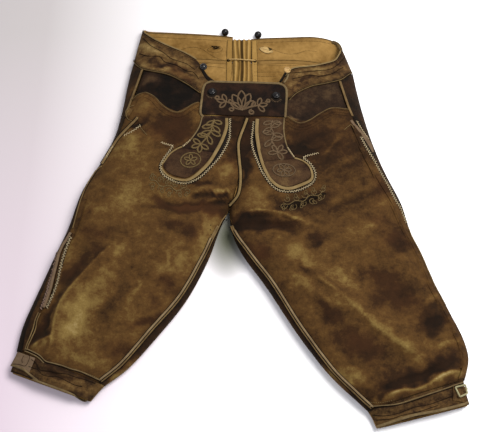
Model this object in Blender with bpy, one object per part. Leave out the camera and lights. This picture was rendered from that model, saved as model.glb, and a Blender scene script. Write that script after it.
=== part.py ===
"""Knee-length leather trousers with a drop front, laid flat on their back on a table.

Sizes in the tables are millimetres. X runs to the wearer's left, Y towards the waist and Z up
from the table. Names end in _r for the wearer's right half and _l for the left.
Every leather piece is a thin wall on one shared laid-out body, whose sections are in SECTIONS.
"""

import math
from collections import namedtuple

import bmesh
import bpy
from mathutils import Vector
from mathutils.bvhtree import BVHTree

MM = 0.001

# Leather and seams
LEATHER = 1.8            # wall of the leg panels
BAND_LEATHER = 2.2       # waistband and knee bands, two skins sewn together
TRIM_LEATHER = 1.3       # appliqued tabs, bib, straps
POCKET_LEATHER = 1.3
POCKET_DEPTH = 2.9       # how far the pocket bearer lies under the outside of the panels
SEAM_GAP = 0.9           # between the outer edges of two panels that meet at a seam
LAY_GAP = 0.45           # between a panel and what is sewn on it
PIECE_REACH = 5          # a flat sewn piece clears whatever lies this near each of its points
NARROW_REACH = 3         # the same for narrow ones

BAND_END = {"r": 158, "l": 150}   # where the front waistband ends, in from the outer edge
BAND_END_ROW = 2.0       # read at this row
BAND_JOINT = 0.05        # turn, round under the outer edge, where front and back waistband meet
BAND_FROM_CENTRE = 18    # from the centre back to the end of the back waistband
POCKET_TUCK = 4          # the bearer's upper edge goes this far under the waistband
POCKET_HEM = 13          # and its lower edge this far below the pocket's edge
CUFF_OPENING = 4         # the knee band stops this far inside the outer edge

# The laid-out body
EDGE_HEIGHT = 11.0       # height of the silhouette over the table
TOP_ROLL = 62.0          # width over which the top rounds down to the silhouette
UNDER_ROLL = 14.0        # the same underneath
CROTCH = 6               # row of the sections where the halves part
ROW_SPACING = 45.0       # about how far apart the last rows lie
JOINED_STEP = 0.0001     # turn just past the centre, on the underside
HIP_STEPS = 7            # rows of faces above the crotch
LEG_STEPS = 14           # and below it

# A row per section from above the waist to the hem: the outer and the inner edge of the half on
# the plan, the height of its crown, and how far the side seam and the inseam lie inside the edges.
Section = namedtuple("Section", "outer_x outer_y inner_x inner_y crown side_in seam_in")
SECTIONS = {
    "r": (
        Section(-189, 470, 2, 470, 34, 16, 0),      # above the waist
        Section(-209, 352, 4, 356, 41, 28, 0),      # waistband seam
        Section(-218, 300, 10, 288, 45, 27, 0),
        Section(-224, 240, 10, 212, 47, 17, 0),     # pocket
        Section(-232, 192, -1, 148, 48, 12, 0),
        Section(-243, 160, 2, 90, 48, 11, 0),
        Section(-258, 124, -19, 32, 46, 11, 0),     # crotch
        Section(-288, 70, -37, -14, 45, 12, 5),
        Section(-304, 0, -52, -62, 43, 13, 9),      # thigh
        Section(-326, -62, -88, -137, 42, 13, 11),
        Section(-347, -125, -132, -196, 40, 14, 13),
        Section(-366, -183, -180, -254, 37, 15, 12),
        Section(-372, -226, -219, -284, 29, 16, 10),  # knee-band seam
        Section(-380, -260, -240, -309, 24, 16, 10),  # hem
    ),
    "l": (
        Section(172, 470, 2, 470, 36, 34, 0),
        Section(219, 325, 4, 356, 43, 41, 0),
        Section(227, 272, 10, 288, 46, 35, 0),
        Section(235, 226, 10, 212, 48, 31, 0),
        Section(245, 182, -1, 148, 49, 25, 0),
        Section(256, 142, 2, 90, 48, 22, 0),
        Section(272, 95, -19, 32, 46, 19, 0),
        Section(295, 42, -15, -12, 45, 16, 5),
        Section(303, -6, 8, -60, 44, 9, 11),
        Section(322, -58, 46, -112, 43, 5, 11),
        Section(343, -122, 92, -188, 42, 5, 10),
        Section(372, -190, 145, -262, 40, 5, 9),
        Section(384, -237, 185, -302, 37, 5, 8),
        Section(373, -275, 210, -326, 30, 5, 8),      # knee-band seam
        Section(379, -314, 222, -352, 24, 5, 8),      # hem
    ),
}

# Borders across the hips, as plan points in order of X
BORDERS = {
    "front_top_r": (
        (-198, 434), (-188, 410), (-161, 384), (-111, 356), (-81, 336), (-62, 296), (-52, 268),
    ),
    "front_top_l": (
        (72, 262), (82, 295), (99, 316), (126, 321), (153, 326), (180, 337), (193, 357), (200, 390),
    ),
    "front_seam_r": (
        (-211, 353), (-201, 333), (-181, 314), (-133, 299), (-102, 280), (-76, 260), (-40, 236),
    ),
    "front_seam_l": (
        (50, 226), (88, 243), (111, 261), (138, 275), (164, 281), (191, 291), (208, 308), (221, 325),
    ),
    "back_top": (
        (-200, 433), (-122, 429), (-51, 424), (-11, 419), (19, 414), (47, 417), (103, 419),
        (145, 420), (173, 415), (190, 406), (202, 392),
    ),
    "back_seam": (
        (-211, 352), (-180, 360), (-110, 364), (4, 358), (110, 360), (190, 345), (221, 325),
    ),
    "pocket_r": (
        (-226, 232), (-206, 249), (-194, 261), (-178, 263), (-159, 251), (-146, 235), (-130, 222),
        (-118, 218), (-106, 221), (-91, 233), (-76, 242), (-40, 238), (0, 236), (14, 236),
    ),
    "pocket_l": (
        (5, 236), (22, 236), (52, 230), (76, 216), (88, 208), (109, 194), (129, 200),
        (149, 215), (170, 226), (195, 226), (215, 223), (238, 218),
    ),
}

# Soft ridges (+) and troughs (-) of the leather, from one plan point to another
Fold = namedtuple("Fold", "x0 y0 x1 y1 half_width height")
FOLDS = (
    Fold(-232, -55, -288, -128, 26, 8),     # ridge along the outer side of the right thigh
    Fold(-288, -128, -312, -225, 22, 8),
    Fold(-262, -30, -318, -120, 18, -4),    # the hollow outside it
    Fold(-318, -120, -334, -205, 16, -5),
    Fold(-70, 58, -150, 20, 26, -6),        # creases from the crotch
    Fold(-9, 40, -92, -4, 18, -4),
    Fold(-60, -40, -150, -60, 24, 4),
    Fold(-110, -120, -190, -100, 26, -4),
    Fold(-160, -175, -235, -165, 26, 4),
    Fold(-185, -225, -250, -205, 20, -4),
    Fold(-225, 120, -160, 160, 24, -3),
    Fold(-250, -215, -300, -180, 20, -4),
    Fold(0, 12, 100, -30, 30, -10),          # dark trough beside the crotch on the left thigh
    Fold(10, 60, 120, 10, 24, -5),
    Fold(104, -95, 200, -165, 32, 8),       # long slanting ridge down the left leg
    Fold(200, -165, 320, -245, 28, 8),
    Fold(120, -150, 190, -230, 26, -5),
    Fold(210, -105, 300, -150, 32, -5),
    Fold(215, -300, 290, -286, 18, 7),      # fold over the left knee band
    Fold(290, -286, 366, -250, 18, 6),
    Fold(230, -270, 350, -215, 18, -5),
    Fold(250, 60, 160, 10, 26, -4),         # slanting creases of the left hip
    Fold(240, 130, 150, 95, 24, 4),
    Fold(285, 0, 200, -50, 26, 4),
    Fold(150, 150, 220, 120, 20, -3),
)

# The drop front and its tabs
BIB_TOP_LEFT = (-68, 284)
BIB_TOP_RIGHT = (88, 278)
BIB_BOTTOM_LEFT = (-73, 211)
BIB_BOTTOM_RIGHT = (85, 205)
BIB_TOP_ROUND = 17
BIB_BOTTOM_ROUND = 5
BIB_DROPS = (0, 1.5, 5, 10, BIB_TOP_ROUND, 30, 42, 54)   # rows of points, down from its top
BIB_COLUMNS = 16
BIB_LEATHER = 1.8
# A row per station down the tab: its left and its right edge
Station = namedtuple("Station", "left_x left_y right_x right_y")
TABS = {
    "r": (
        Station(-71, 209, -27, 207),
        Station(-76, 180, -27, 183),
        Station(-92, 153, -36, 155),
        Station(-112, 141, -47, 131),
        Station(-128, 123, -58, 113),
        Station(-137, 107, -73, 96),
        Station(-130, 93, -86, 85),
        Station(-117, 85, -97, 80),
    ),
    "l": (
        Station(34, 204, 83, 202),
        Station(32, 170, 82, 170),
        Station(37, 138, 89, 135),
        Station(43, 112, 103, 118),
        Station(51, 90, 118, 106),
        Station(61, 74, 127, 92),
        Station(76, 65, 125, 80),
        Station(91, 63, 110, 71),
    ),
}
TAB_SPLIT = 3            # station where the upper part ends
TAB_ROWS, TAB_COLUMNS = 8, 6
TAB_TOP_TRIM = 0.6       # cut back from the bib
TAB_JOINT_TRIM = 0.3     # and from the seam between its two parts
TAB_PIPING_WIDTH = 4.6
TAB_PIPING_PATHS = {
    "r": (
        (-24, 203), (-24, 183), (-32, 155), (-43, 131), (-54, 111), (-69, 93),
        (-83, 81), (-97, 76), (-118, 80), (-133, 90), (-141, 106), (-131, 126),
    ),
    "l": (
        (31, 200), (29, 170), (33, 138), (39, 111), (47, 88), (58, 71),
        (74, 61), (92, 59), (112, 67), (129, 78), (131, 93), (121, 109),
    ),
}

# Piping, bands and welts
PIPING_RISE = 0.8        # how much higher the middle of a piping is than its edges
FLY_PIPING = ((14, 203), (8, 184), (2, 166), (-2, 147), (1, 114), (3, 93), (0, 66), (-9, 46))
FLY_PIPING_WIDTH = 5.0
STRIP_GAP = 0.7          # between the body and a strip on its rounded edge
STRIP_REACH = 9.0        # a seam strip clears whatever lies this near it
STRIP_RISE = 0.5         # how much higher the middle of a seam strip is
INSEAM_WELT_WIDTH = 8.0
INSEAM_WELT_TOP = 6.8    # row just below the crotch
SIDE_PIPING_WIDTH = 4.5
SIDE_PIPING_START = 1.6  # row where its seam turn is read, at the waistband seam
SIDE_PIPING_START_GAP = 2.0
SIDE_PIPING_END = 3.3    # row
SIDE_BAND_WIDTH = 12.0
SIDE_BAND_SHIFT = 0.45   # of its width, round the side from the seam
SIDE_BAND_TOP = {"r": 7.3, "l": 3.75}   # row where the zigzagged side band starts
STRIP_END = 0.11         # rows between a strip's end and the knee-band seam
INSEAM_STEPS, SIDE_PIPING_STEPS, SIDE_BAND_STEPS = 26, 10, 34
SIDE_BAND_COLUMNS = 3
PIPING_STEP = 8          # between the rows of points along a piping
FLY_PIPING_STEP = 9
TAB_PIPING_REACH = 2.6
KNIFE_POCKET_PATH = ((-189, 207), (-204, 190), (-224, 168), (-241, 137), (-251, 117))
KNIFE_POCKET_WIDTH = 6.0
KNIFE_POCKET_REACH = 3.5
KNIFE_TAB_PATH = ((-202, 229), (-211, 213))
KNIFE_TAB_WIDTH = 9.0
KNIFE_TAB_STEP, KNIFE_TAB_REACH = 6, 6
LEAF_CENTRE = (51, 387)
LEAF_LENGTH = 30
LEAF_WIDTH = 15
LEAF_DROP = 8            # how much lower its tip lies than its stalk
LEAF_STEPS = 8
LEAF_TIP = 0.04          # of its length, left off at each end

# Centre back
GUSSET_ROWS = (411, 383, 355, 327, 296)   # Y of its rows of points
GUSSET_TAPER = 0.10      # of its width, lost by the bottom
GUSSET_LEFT = -16
GUSSET_RIGHT = 22
GUSSET_PLEATS = 4
GUSSET_PLEAT_HEIGHT = 3.6
GUSSET_LEATHER = 1.2
PLEAT_STEPS = 6          # points across each pleat
FACING_WIDTH = 11
FACING_INSET = 1.0       # from the gusset's edge
FACING_ROWS = (410, 398, 385, 372, 359, 346, 332, 318, 304)
LACE_WIDTH = 2.2
LACE_STEP = 3
LACE_PATH = (
    (-24, 362, 5.4), (-21, 361.8, 7.2), (-16, 361.2, 9.2), (0, 360, 10.2),
    (14, 359, 9.9), (22, 359.2, 9.0), (27, 359.6, 7.2), (30, 360, 5.4),
)

# Buttons
BUTTON_SIDES = 12
BUTTON_REACH = 4         # a button clears whatever lies this near its middle
DISH_REACH = 5
BIB_BUTTON_RADIUS = 7.0
BIB_BUTTONS = {"r": (-52, 259), "l": (68, 250)}
BRACE_BUTTON_RADIUS = 6.5
BRACE_BUTTON_BACK = {"r": -31, "l": 35}
BRACE_BUTTON_FRONT_R = (-70, 318)
BRACE_BUTTON_TILT = (0.1, -0.2, 1)      # the way it faces
BRACE_DISH_FRONT_L = (90, 310)
DISH_RADIUS = 6.6        # the front left brace button, dished inside a rim
# Closed profiles from foot to crown: radius as a share of the button's, and height
BUTTON_PROFILE = (
    (0, 0), (0.45, 0), (0.45, 1.6), (0.92, 2.2), (1, 3.4), (0.86, 5.4), (0.5, 6.8), (0, 7.2),
)
DISH_PROFILE = ((0, 0), (0.88, 0), (1, 1.3), (0.89, 2.8), (0.64, 2.6), (0.53, 1.5), (0, 1.3))
BALL_STEPS = 8
STRAP_WIDTH = 8.0
STRAP_STEP = 8
STRAP_PATHS = {"r": ((-75, 308), (-67, 298), (-59, 288)), "l": ((89, 303), (86, 293), (82, 284))}

# Knee bands
CUFF_SEAM_ROW = {"r": 12, "l": 13}
CUFF_STRAP_PATH = ((-371, -240), (-357, -246), (-338, -253))
CUFF_STRAP_WIDTH = 25
CUFF_LOOP_PATH = ((347, -297), (358, -298), (370, -301))
CUFF_LOOP_WIDTH = 26
CUFF_STRAP_STEP, CUFF_LOOP_STEP = 7, 6
CUFF_TRIM_COLUMNS, CUFF_TRIM_REACH = 4, 4

# How finely the curves and walls are stepped
BORDER_STEP = 4
NORMAL_STEP = 0.012      # in turns and in rows, for reading the body's slope
BISECTIONS = 26          # for finding a place on the body
GUIDE_ROWS = 60
GUIDE_COLUMNS = 24
GUIDE_DROP = 0.3         # the guide surface lies this far under the outside of the leather
ABOVE_ALL = 200          # a height over everything
PROBE_ABOVE = 14         # how far off the body a seat is looked for, and how far past it
PROBE_BELOW = 12
FRONT_COLUMNS = 13
BACK_COLUMNS = 18
CUFF_COLUMNS, CUFF_ROWS = 24, 3
BAND_FRONT_COLUMNS, BAND_FRONT_ROWS = 14, 3
BAND_BACK_COLUMNS, BAND_BACK_ROWS = 12, 2
BEARER_COLUMNS, BEARER_ROWS = 11, 5

# Colours: name, red green blue, roughness
COLOURS = {
    "leg": ((0.115, 0.066, 0.022), 0.85),
    "band": ((0.075, 0.040, 0.016), 0.85),
    "inside": ((0.50, 0.30, 0.12), 0.9),
    "bib": ((0.045, 0.021, 0.014), 0.8),
    "piping": ((0.42, 0.30, 0.15), 0.8),
    "pocket": ((0.022, 0.013, 0.008), 0.85),
    "horn": ((0.008, 0.008, 0.009), 0.25),
    "pale_horn": ((0.62, 0.45, 0.20), 0.35),
    "lace": ((0.55, 0.42, 0.24), 0.9),
}


def clamp(value, low=0.0, high=1.0):
    return max(low, min(high, value))


def mix(a, b, t):
    return a + (b - a) * t


def spline(values, t):
    """The smooth value at place t along a list, through each of its values."""
    i = int(clamp(t, 0, len(values) - 2))
    f = t - i
    here, after = values[i], values[i + 1]
    before = values[i - 1] if i else 2 * here - after
    beyond = values[i + 2] if i + 2 < len(values) else 2 * after - here
    slope = after - before
    bend = 2 * before - 5 * here + 4 * after - beyond
    twist = 3 * (here - after) + beyond - before
    return here + 0.5 * f * (slope + f * (bend + f * twist))


def smooth_path(points, step):
    """Points about a step apart along a smooth curve through the given ones."""
    columns = list(zip(*points))
    path = []
    for i in range(len(points) - 1):
        length = math.dist(points[i], points[i + 1])
        pieces = max(1, round(length / step))
        path += [Vector([spline(column, i + k / pieces) for column in columns]) for k in range(pieces)]
    return path + [Vector(points[-1])]


SMOOTH_BORDERS = {name: smooth_path(points, BORDER_STEP) for name, points in BORDERS.items()}


def border_y(name, x):
    """Height on the plan of a border at x."""
    line = SMOOTH_BORDERS[name]
    for a, b in zip(line, line[1:]):
        if x <= b[0]:
            return mix(a[1], b[1], (x - a[0]) / (b[0] - a[0]))
    return line[-1][1]


def roll(distance, width):
    """Rises from 0 to 1 as a quarter of an ellipse over the width."""
    return math.sqrt(1 - (1 - clamp(distance / width)) ** 2)


def folds_at(x, y):
    total = 0.0
    for fold in FOLDS:
        along_x, along_y = fold.x1 - fold.x0, fold.y1 - fold.y0
        t = clamp(((x - fold.x0) * along_x + (y - fold.y0) * along_y) / (along_x**2 + along_y**2))
        away = math.hypot(x - fold.x0 - t * along_x, y - fold.y0 - t * along_y) / fold.half_width
        if away < 1:
            fades = math.sin(math.pi * mix(0.2, 0.8, t))
            total += fold.height * (0.5 + 0.5 * math.cos(math.pi * away)) * fades
    return total


class Half:
    """One laid-out half. A place on it is (turn, row): turn 0 is the outer edge, 0 to 1 goes over
    the top to the inner edge and 1 to 2 back underneath, and row runs down its sections."""

    def __init__(self, side):
        self.side = side
        self.sign = -1 if side == "r" else 1
        self.rows = SECTIONS[side]
        self.last = len(self.rows) - 1
        self.columns = {name: [getattr(row, name) for row in self.rows] for name in Section._fields}

    def value(self, name, row):
        values = self.columns[name]
        if name.startswith("inner"):
            if row <= CROTCH:
                return spline(values[: CROTCH + 1], row)
            return spline(values[CROTCH:], row - CROTCH)
        return spline(values, row)

    def width(self, row):
        return math.hypot(
            self.value("outer_x", row) - self.value("inner_x", row),
            self.value("outer_y", row) - self.value("inner_y", row),
        )

    def turn_in(self, distance, row):
        """The turn that lies this far inside the edge."""
        return math.acos(1 - 2 * clamp(distance / self.width(row))) / math.pi

    def side_turn(self, row):
        return self.turn_in(self.value("side_in", row), row)

    def inseam_turn(self, row):
        return 1 - self.turn_in(max(0.0, self.value("seam_in", row)) if row > CROTCH else 0.0, row)

    def closing(self, row):
        """0 where the halves are joined, 1 from the crotch down."""
        return 1 - math.sqrt(1 - clamp(row - (CROTCH - 1)) ** 2)

    def place(self, turn, row):
        turn %= 2.0
        across = 0.5 - 0.5 * math.cos(math.pi * turn)
        x = mix(self.value("outer_x", row), self.value("inner_x", row), across)
        y = mix(self.value("outer_y", row), self.value("inner_y", row), across)
        width = self.width(row)
        from_outer, from_inner = across * width, (1 - across) * width
        closing = self.closing(row)
        if turn <= 1:
            crown = self.value("crown", row)
            risen = roll(from_outer, TOP_ROLL) * mix(1, roll(from_inner, TOP_ROLL), closing)
            z = EDGE_HEIGHT + (crown - EDGE_HEIGHT + folds_at(x, y)) * risen
        else:
            lifted = 1 - roll(from_outer, UNDER_ROLL) + closing * (1 - roll(from_inner, UNDER_ROLL))
            z = EDGE_HEIGHT * lifted
        return Vector((x, y, z))

    def normal(self, turn, row):
        """Outward direction of the leather."""
        low, high = turn - NORMAL_STEP, turn + NORMAL_STEP
        if row < CROTCH:
            if turn % 2.0 <= 1:
                high = min(high, 1.0)
            else:
                low = max(low, 1 + JOINED_STEP)
        across = self.place(high, row) - self.place(low, row)
        down = self.place(turn, row + NORMAL_STEP) - self.place(turn, row - NORMAL_STEP)
        return (down.cross(across) * -self.sign).normalized()

    def point(self, turn, row, lift=0.0):
        return self.place(turn, row) + self.normal(turn, row) * lift

    def moved(self, turn, row, distance):
        """The turn that lies a distance along the leather from this one, forward or back."""
        start = self.place(turn, row)
        near, far = turn, turn + math.copysign(0.2, distance)
        for _ in range(BISECTIONS):
            middle = 0.5 * (near + far)
            if (self.place(middle, row) - start).length < abs(distance):
                near = middle
            else:
                far = middle
        return 0.5 * (near + far)

    def row_at(self, turn, border, drop=0.0):
        """The row where this turn crosses a border, moved a little down it."""
        low, high = 0.0, float(self.last)
        for _ in range(BISECTIONS):
            middle = 0.5 * (low + high)
            place = self.place(turn, middle)
            if place.y > border_y(border, place.x) - drop:
                low = middle
            else:
                high = middle
        return 0.5 * (low + high)


HALVES = {side: Half(side) for side in SECTIONS}


def material(name):
    made = bpy.data.materials.get(name)
    if made is None:
        colour, roughness = COLOURS[name]
        made = bpy.data.materials.new(name)
        made.use_nodes = True
        shader = made.node_tree.nodes["Principled BSDF"]
        shader.inputs["Base Color"].default_value = (*colour, 1)
        shader.inputs["Roughness"].default_value = roughness
        shader.inputs["Metallic"].default_value = 0.0
    return made


def add_object(name, mesh_maker, finish):
    """An object whose mesh is in metres, from a bmesh in millimetres."""
    bmesh.ops.scale(mesh_maker, vec=(MM, MM, MM), verts=mesh_maker.verts)
    mesh = bpy.data.meshes.new(name)
    mesh_maker.to_mesh(mesh)
    mesh_maker.free()
    mesh.shade_smooth()
    mesh.materials.append(material(finish))
    made = bpy.data.objects.new(name, mesh)
    bpy.context.scene.collection.objects.link(made)
    return made


def sheet(grid, outward):
    """A bmesh of quads through rows of points, facing the way that outward gives for the middle."""
    made = bmesh.new()
    rows = [[made.verts.new(point) for point in row] for row in grid]
    for above, below in zip(rows, rows[1:]):
        for i in range(len(above) - 1):
            made.faces.new((above[i], above[i + 1], below[i + 1], below[i]))
    made.normal_update()
    made.faces.ensure_lookup_table()
    middle = made.faces[len(made.faces) // 2]
    if middle.normal.dot(outward(middle.calc_center_median())) < 0:
        bmesh.ops.reverse_faces(made, faces=made.faces)
    return made


def wall(name, grid, thickness, finish, outward):
    made = add_object(name, sheet(grid, outward), finish)
    solid = made.modifiers.new("Leather", "SOLIDIFY")
    solid.thickness = thickness * MM
    solid.offset = -1
    return made


def row_between(ends, down, row_count):
    """The row this many steps down. A long panel steps through the crotch, level with its neighbours."""
    top, bottom = ends
    if top < CROTCH < bottom:
        if down <= HIP_STEPS:
            return mix(top, CROTCH, down / HIP_STEPS)
        return mix(CROTCH, bottom, (down - HIP_STEPS) / (row_count - HIP_STEPS))
    return mix(top, bottom, down / row_count)


def panel(name, half, turns, rows_of, count, row_count, thickness, finish, lift=0.0):
    """A wall on the body between two turns, each read at its row, and two rows, each read at its turn.
    Its two skins follow the body's own normals, so neighbours keep their gap through the leather."""
    places = []
    for j in range(row_count + 1):
        line = []
        for i in range(count + 1):
            row = float(CROTCH)
            for _ in range(4):
                turn = mix(*turns(row), i / count)
                row = row_between(rows_of(turn), j, row_count)
            line.append((turn, row))
        places.append(line)
    outside = [[half.point(turn, row, lift) for turn, row in line] for line in places]
    inside = [[half.point(turn, row, lift - thickness) for turn, row in line] for line in places]
    made = bmesh.new()
    rims = []
    for grid in (outside, inside):
        skin = [[made.verts.new(point) for point in line] for line in grid]
        for above, below in zip(skin, skin[1:]):
            for i in range(count):
                made.faces.new((above[i], above[i + 1], below[i + 1], below[i]))
        right, left = [line[-1] for line in skin[1:-1]], [line[0] for line in skin[-2:0:-1]]
        rims.append(skin[0] + right + skin[-1][::-1] + left)
    outer, inner = rims
    for i in range(len(outer)):
        k = (i + 1) % len(outer)
        made.faces.new((outer[i], outer[k], inner[k], inner[i]))
    bmesh.ops.recalc_face_normals(made, faces=made.faces)
    return add_object(name, made, finish)


class Ground:
    """The pieces laid so far, for finding where the next one rests."""

    def __init__(self):
        self.points = []
        self.faces = []
        self.tree = None

    def add(self, *pieces):
        graph = bpy.context.evaluated_depsgraph_get()
        for piece in pieces:
            shape = piece.evaluated_get(graph)
            mesh = shape.to_mesh()
            start = len(self.points)
            self.points += [vertex.co / MM for vertex in mesh.vertices]
            self.faces += [[start + i for i in face.vertices] for face in mesh.polygons]
            shape.to_mesh_clear()
        self.tree = BVHTree.FromPolygons(self.points, self.faces)

    def add_guide(self, half):
        """The body's own top, a hair below its leather, which carries what spans a gap."""
        start = len(self.points)
        for j in range(GUIDE_ROWS + 1):
            row = mix(1.0, half.last, j / GUIDE_ROWS)
            for i in range(GUIDE_COLUMNS + 1):
                self.points.append(half.point(i / GUIDE_COLUMNS, row, -GUIDE_DROP))
        for j in range(GUIDE_ROWS):
            for i in range(GUIDE_COLUMNS):
                a = start + j * (GUIDE_COLUMNS + 1) + i
                self.faces.append([a, a + 1, a + GUIDE_COLUMNS + 2, a + GUIDE_COLUMNS + 1])
        self.tree = BVHTree.FromPolygons(self.points, self.faces)

    def drop(self, x, y):
        """Where a vertical line first meets the pieces, and which way they face there."""
        place, normal, _, _ = self.tree.ray_cast(Vector((x, y, ABOVE_ALL)), Vector((0, 0, -1)))
        if place is None:
            return Vector((x, y, 0.0)), Vector((0, 0, 1))
        return place, normal if normal.z > 0 else -normal

    def rest(self, point, normal, lift, reach):
        """The point above the pieces by lift, clear of whatever lies within reach of it."""
        side = normal.orthogonal().normalized()
        other = normal.cross(side)
        highest = None
        for radius in (0.0, 0.5 * reach, reach):
            for k in range(1 if radius == 0.0 else 8):
                angle = k * math.pi / 4
                start = point + (side * math.cos(angle) + other * math.sin(angle)) * radius
                start += normal * PROBE_ABOVE
                hit = self.tree.ray_cast(start, -normal, PROBE_ABOVE + PROBE_BELOW)[0]
                if hit is not None:
                    height = (hit - point).dot(normal)
                    highest = height if highest is None else max(highest, height)
        return point + normal * ((highest or 0.0) + lift)

    def lay(self, x, y, lift, reach):
        normals = Vector()
        for dx, dy in ((0, 0), (reach, 0), (-reach, 0), (0, reach), (0, -reach)):
            normals += self.drop(x + dx, y + dy)[1]
        return self.rest(self.drop(x, y)[0], normals.normalized(), lift, reach)


def upward(_):
    return Vector((0, 0, 1))


def applique(name, ground, plan_grid, thickness, finish, reach, rise=0.0):
    """A flat piece sewn on: rows of plan points laid on the ground, the middle of each row higher."""
    count = len(plan_grid[0]) - 1
    grid = []
    for line in plan_grid:
        laid = []
        for i, point in enumerate(line):
            lift = LAY_GAP + thickness + rise * math.sin(math.pi * i / count)
            laid.append(ground.lay(point[0], point[1], lift, reach))
        grid.append(laid)
    return wall(name, grid, thickness, finish, upward)


def ribbon(path, width, across):
    """Rows of plan points either side of a path."""
    rows = []
    for i, point in enumerate(path):
        ahead = path[min(i + 1, len(path) - 1)] - path[max(i - 1, 0)]
        side = Vector((-ahead[1], ahead[0])).normalized()
        rows.append([point + side * width * (k / across - 0.5) for k in range(across + 1)])
    return rows


def seam_strip(name, ground, half, turn_of, rows, count, width, finish, across=2, shift=0.0,
               rise=STRIP_RISE):
    """A narrow strip that follows a seam of the body over its rounded edge."""
    grid = []
    for j in range(count + 1):
        row = mix(*rows, j / count)
        seam = turn_of(row)
        around = half.point(seam + NORMAL_STEP, row) - half.point(seam - NORMAL_STEP, row)
        per_turn = around.length / (2 * NORMAL_STEP)
        line = []
        for i in range(across + 1):
            turn = seam + ((i / across - 0.5) * width + shift) / per_turn
            lift = STRIP_GAP + TRIM_LEATHER + (rise if 0 < i < across else 0)
            place, normal = half.point(turn, row), half.normal(turn, row)
            line.append(ground.rest(place, normal, lift, STRIP_REACH))
        grid.append(line)
    middle_row = mix(*rows, 0.5)
    middle = half.normal(turn_of(middle_row), middle_row)
    return wall(name, grid, TRIM_LEATHER, finish, lambda _: middle)


def between(stations, steps, across, trim_start=0.0, trim_end=0.0):
    """Rows of plan points between the edges that the stations give, the end rows trimmed back."""
    columns = list(zip(*stations))
    rows = []
    for j in range(steps + 1):
        t = mix(0, len(stations) - 1, j / steps)
        left_x, left_y, right_x, right_y = (spline(column, t) for column in columns)
        left, right = Vector((left_x, left_y)), Vector((right_x, right_y))
        rows.append([left.lerp(right, i / across) for i in range(across + 1)])
    for index, trim, toward in ((0, trim_start, 1), (-1, trim_end, -2)):
        for i, point in enumerate(rows[index]):
            step = rows[toward][i] - point
            rows[index][i] = point + step.normalized() * trim
    return rows


def turned(name, profile, centre, axis, finish):
    """A round solid: a profile of (radius, height) turned about an axis through the centre."""
    made = bmesh.new()
    points = [made.verts.new((radius, 0, height)) for radius, height in profile]
    edges = [made.edges.new(pair) for pair in zip(points, points[1:])]
    bmesh.ops.spin(
        made, geom=points + edges, cent=(0, 0, 0), axis=(0, 0, 1), angle=2 * math.pi, steps=BUTTON_SIDES,
        use_merge=True,
    )
    bmesh.ops.remove_doubles(made, verts=made.verts, dist=1e-4)
    bmesh.ops.recalc_face_normals(made, faces=made.faces)
    turn = Vector((0, 0, 1)).rotation_difference(axis).to_matrix()
    bmesh.ops.rotate(made, cent=(0, 0, 0), matrix=turn, verts=made.verts)
    bmesh.ops.translate(made, vec=centre, verts=made.verts)
    return add_object(name, made, finish)


def make_panels(half):
    """The pieces of one half that are cut to the body itself."""
    side = half.side
    front_top, front_seam, pocket = f"front_top_{side}", f"front_seam_{side}", f"pocket_{side}"
    seam_row = CUFF_SEAM_ROW[side]
    gap = 0.5 * SEAM_GAP
    cuff_gap = gap / ROW_SPACING
    band_end = half.turn_in(BAND_END[side], BAND_END_ROW)
    leg_rows = HIP_STEPS + LEG_STEPS

    def front_turns(row):
        side_turn, inseam_turn = half.side_turn(row), half.inseam_turn(row)
        return half.moved(side_turn, row, gap), half.moved(inseam_turn, row, -gap)

    def front_rows(turn):
        return half.row_at(turn, pocket), seam_row - cuff_gap

    def back_turns(row):
        inner = half.inseam_turn(row)
        if row < CROTCH:
            inner = max(inner, 1 + JOINED_STEP)
        return half.moved(inner, row, gap), 2 + half.moved(half.side_turn(row), row, -gap)

    def back_rows(turn):
        border = "back_seam" if turn < 2 else front_seam
        return half.row_at(turn, border, 4 * gap), seam_row - cuff_gap

    def cuff_turns(row):
        opening = half.turn_in(CUFF_OPENING, row)
        return opening, 2 - opening

    def cuff_rows(_):
        return seam_row + cuff_gap, half.last

    def band_front_turns(row):
        return half.moved(-BAND_JOINT, row, gap), band_end

    def band_front_rows(turn):
        top, seam = (front_top, front_seam) if turn > 0 else ("back_top", "back_seam")
        return half.row_at(turn, top), half.row_at(turn, seam, -gap)

    def band_back_turns(row):
        start = 1 + half.turn_in(BAND_FROM_CENTRE, row)
        return start, half.moved(2 - BAND_JOINT, row, -gap)

    def band_back_rows(turn):
        return half.row_at(turn, "back_top"), half.row_at(turn, "back_seam", -gap)

    def bearer_turns(row):
        return half.moved(half.side_turn(row), row, 3 * gap), band_end

    def bearer_rows(turn):
        return half.row_at(turn, front_seam, -POCKET_TUCK), half.row_at(turn, pocket, POCKET_HEM)

    cut = (
        ("front_leg", front_turns, front_rows, FRONT_COLUMNS, leg_rows, LEATHER, "leg", 0.0),
        ("back_leg", back_turns, back_rows, BACK_COLUMNS, leg_rows, LEATHER, "leg", 0.0),
        ("cuff", cuff_turns, cuff_rows, CUFF_COLUMNS, CUFF_ROWS, BAND_LEATHER, "band", 0.0),
        ("waistband_front", band_front_turns, band_front_rows, BAND_FRONT_COLUMNS, BAND_FRONT_ROWS,
         BAND_LEATHER, "band", 0.0),
        ("waistband_back", band_back_turns, band_back_rows, BAND_BACK_COLUMNS, BAND_BACK_ROWS,
         BAND_LEATHER, "inside", 0.0),
        ("pocket_bearer", bearer_turns, bearer_rows, BEARER_COLUMNS, BEARER_ROWS,
         POCKET_LEATHER, "pocket", -POCKET_DEPTH),
    )
    return [panel(f"{name}_{side}", half, *rest) for name, *rest in cut]


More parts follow.
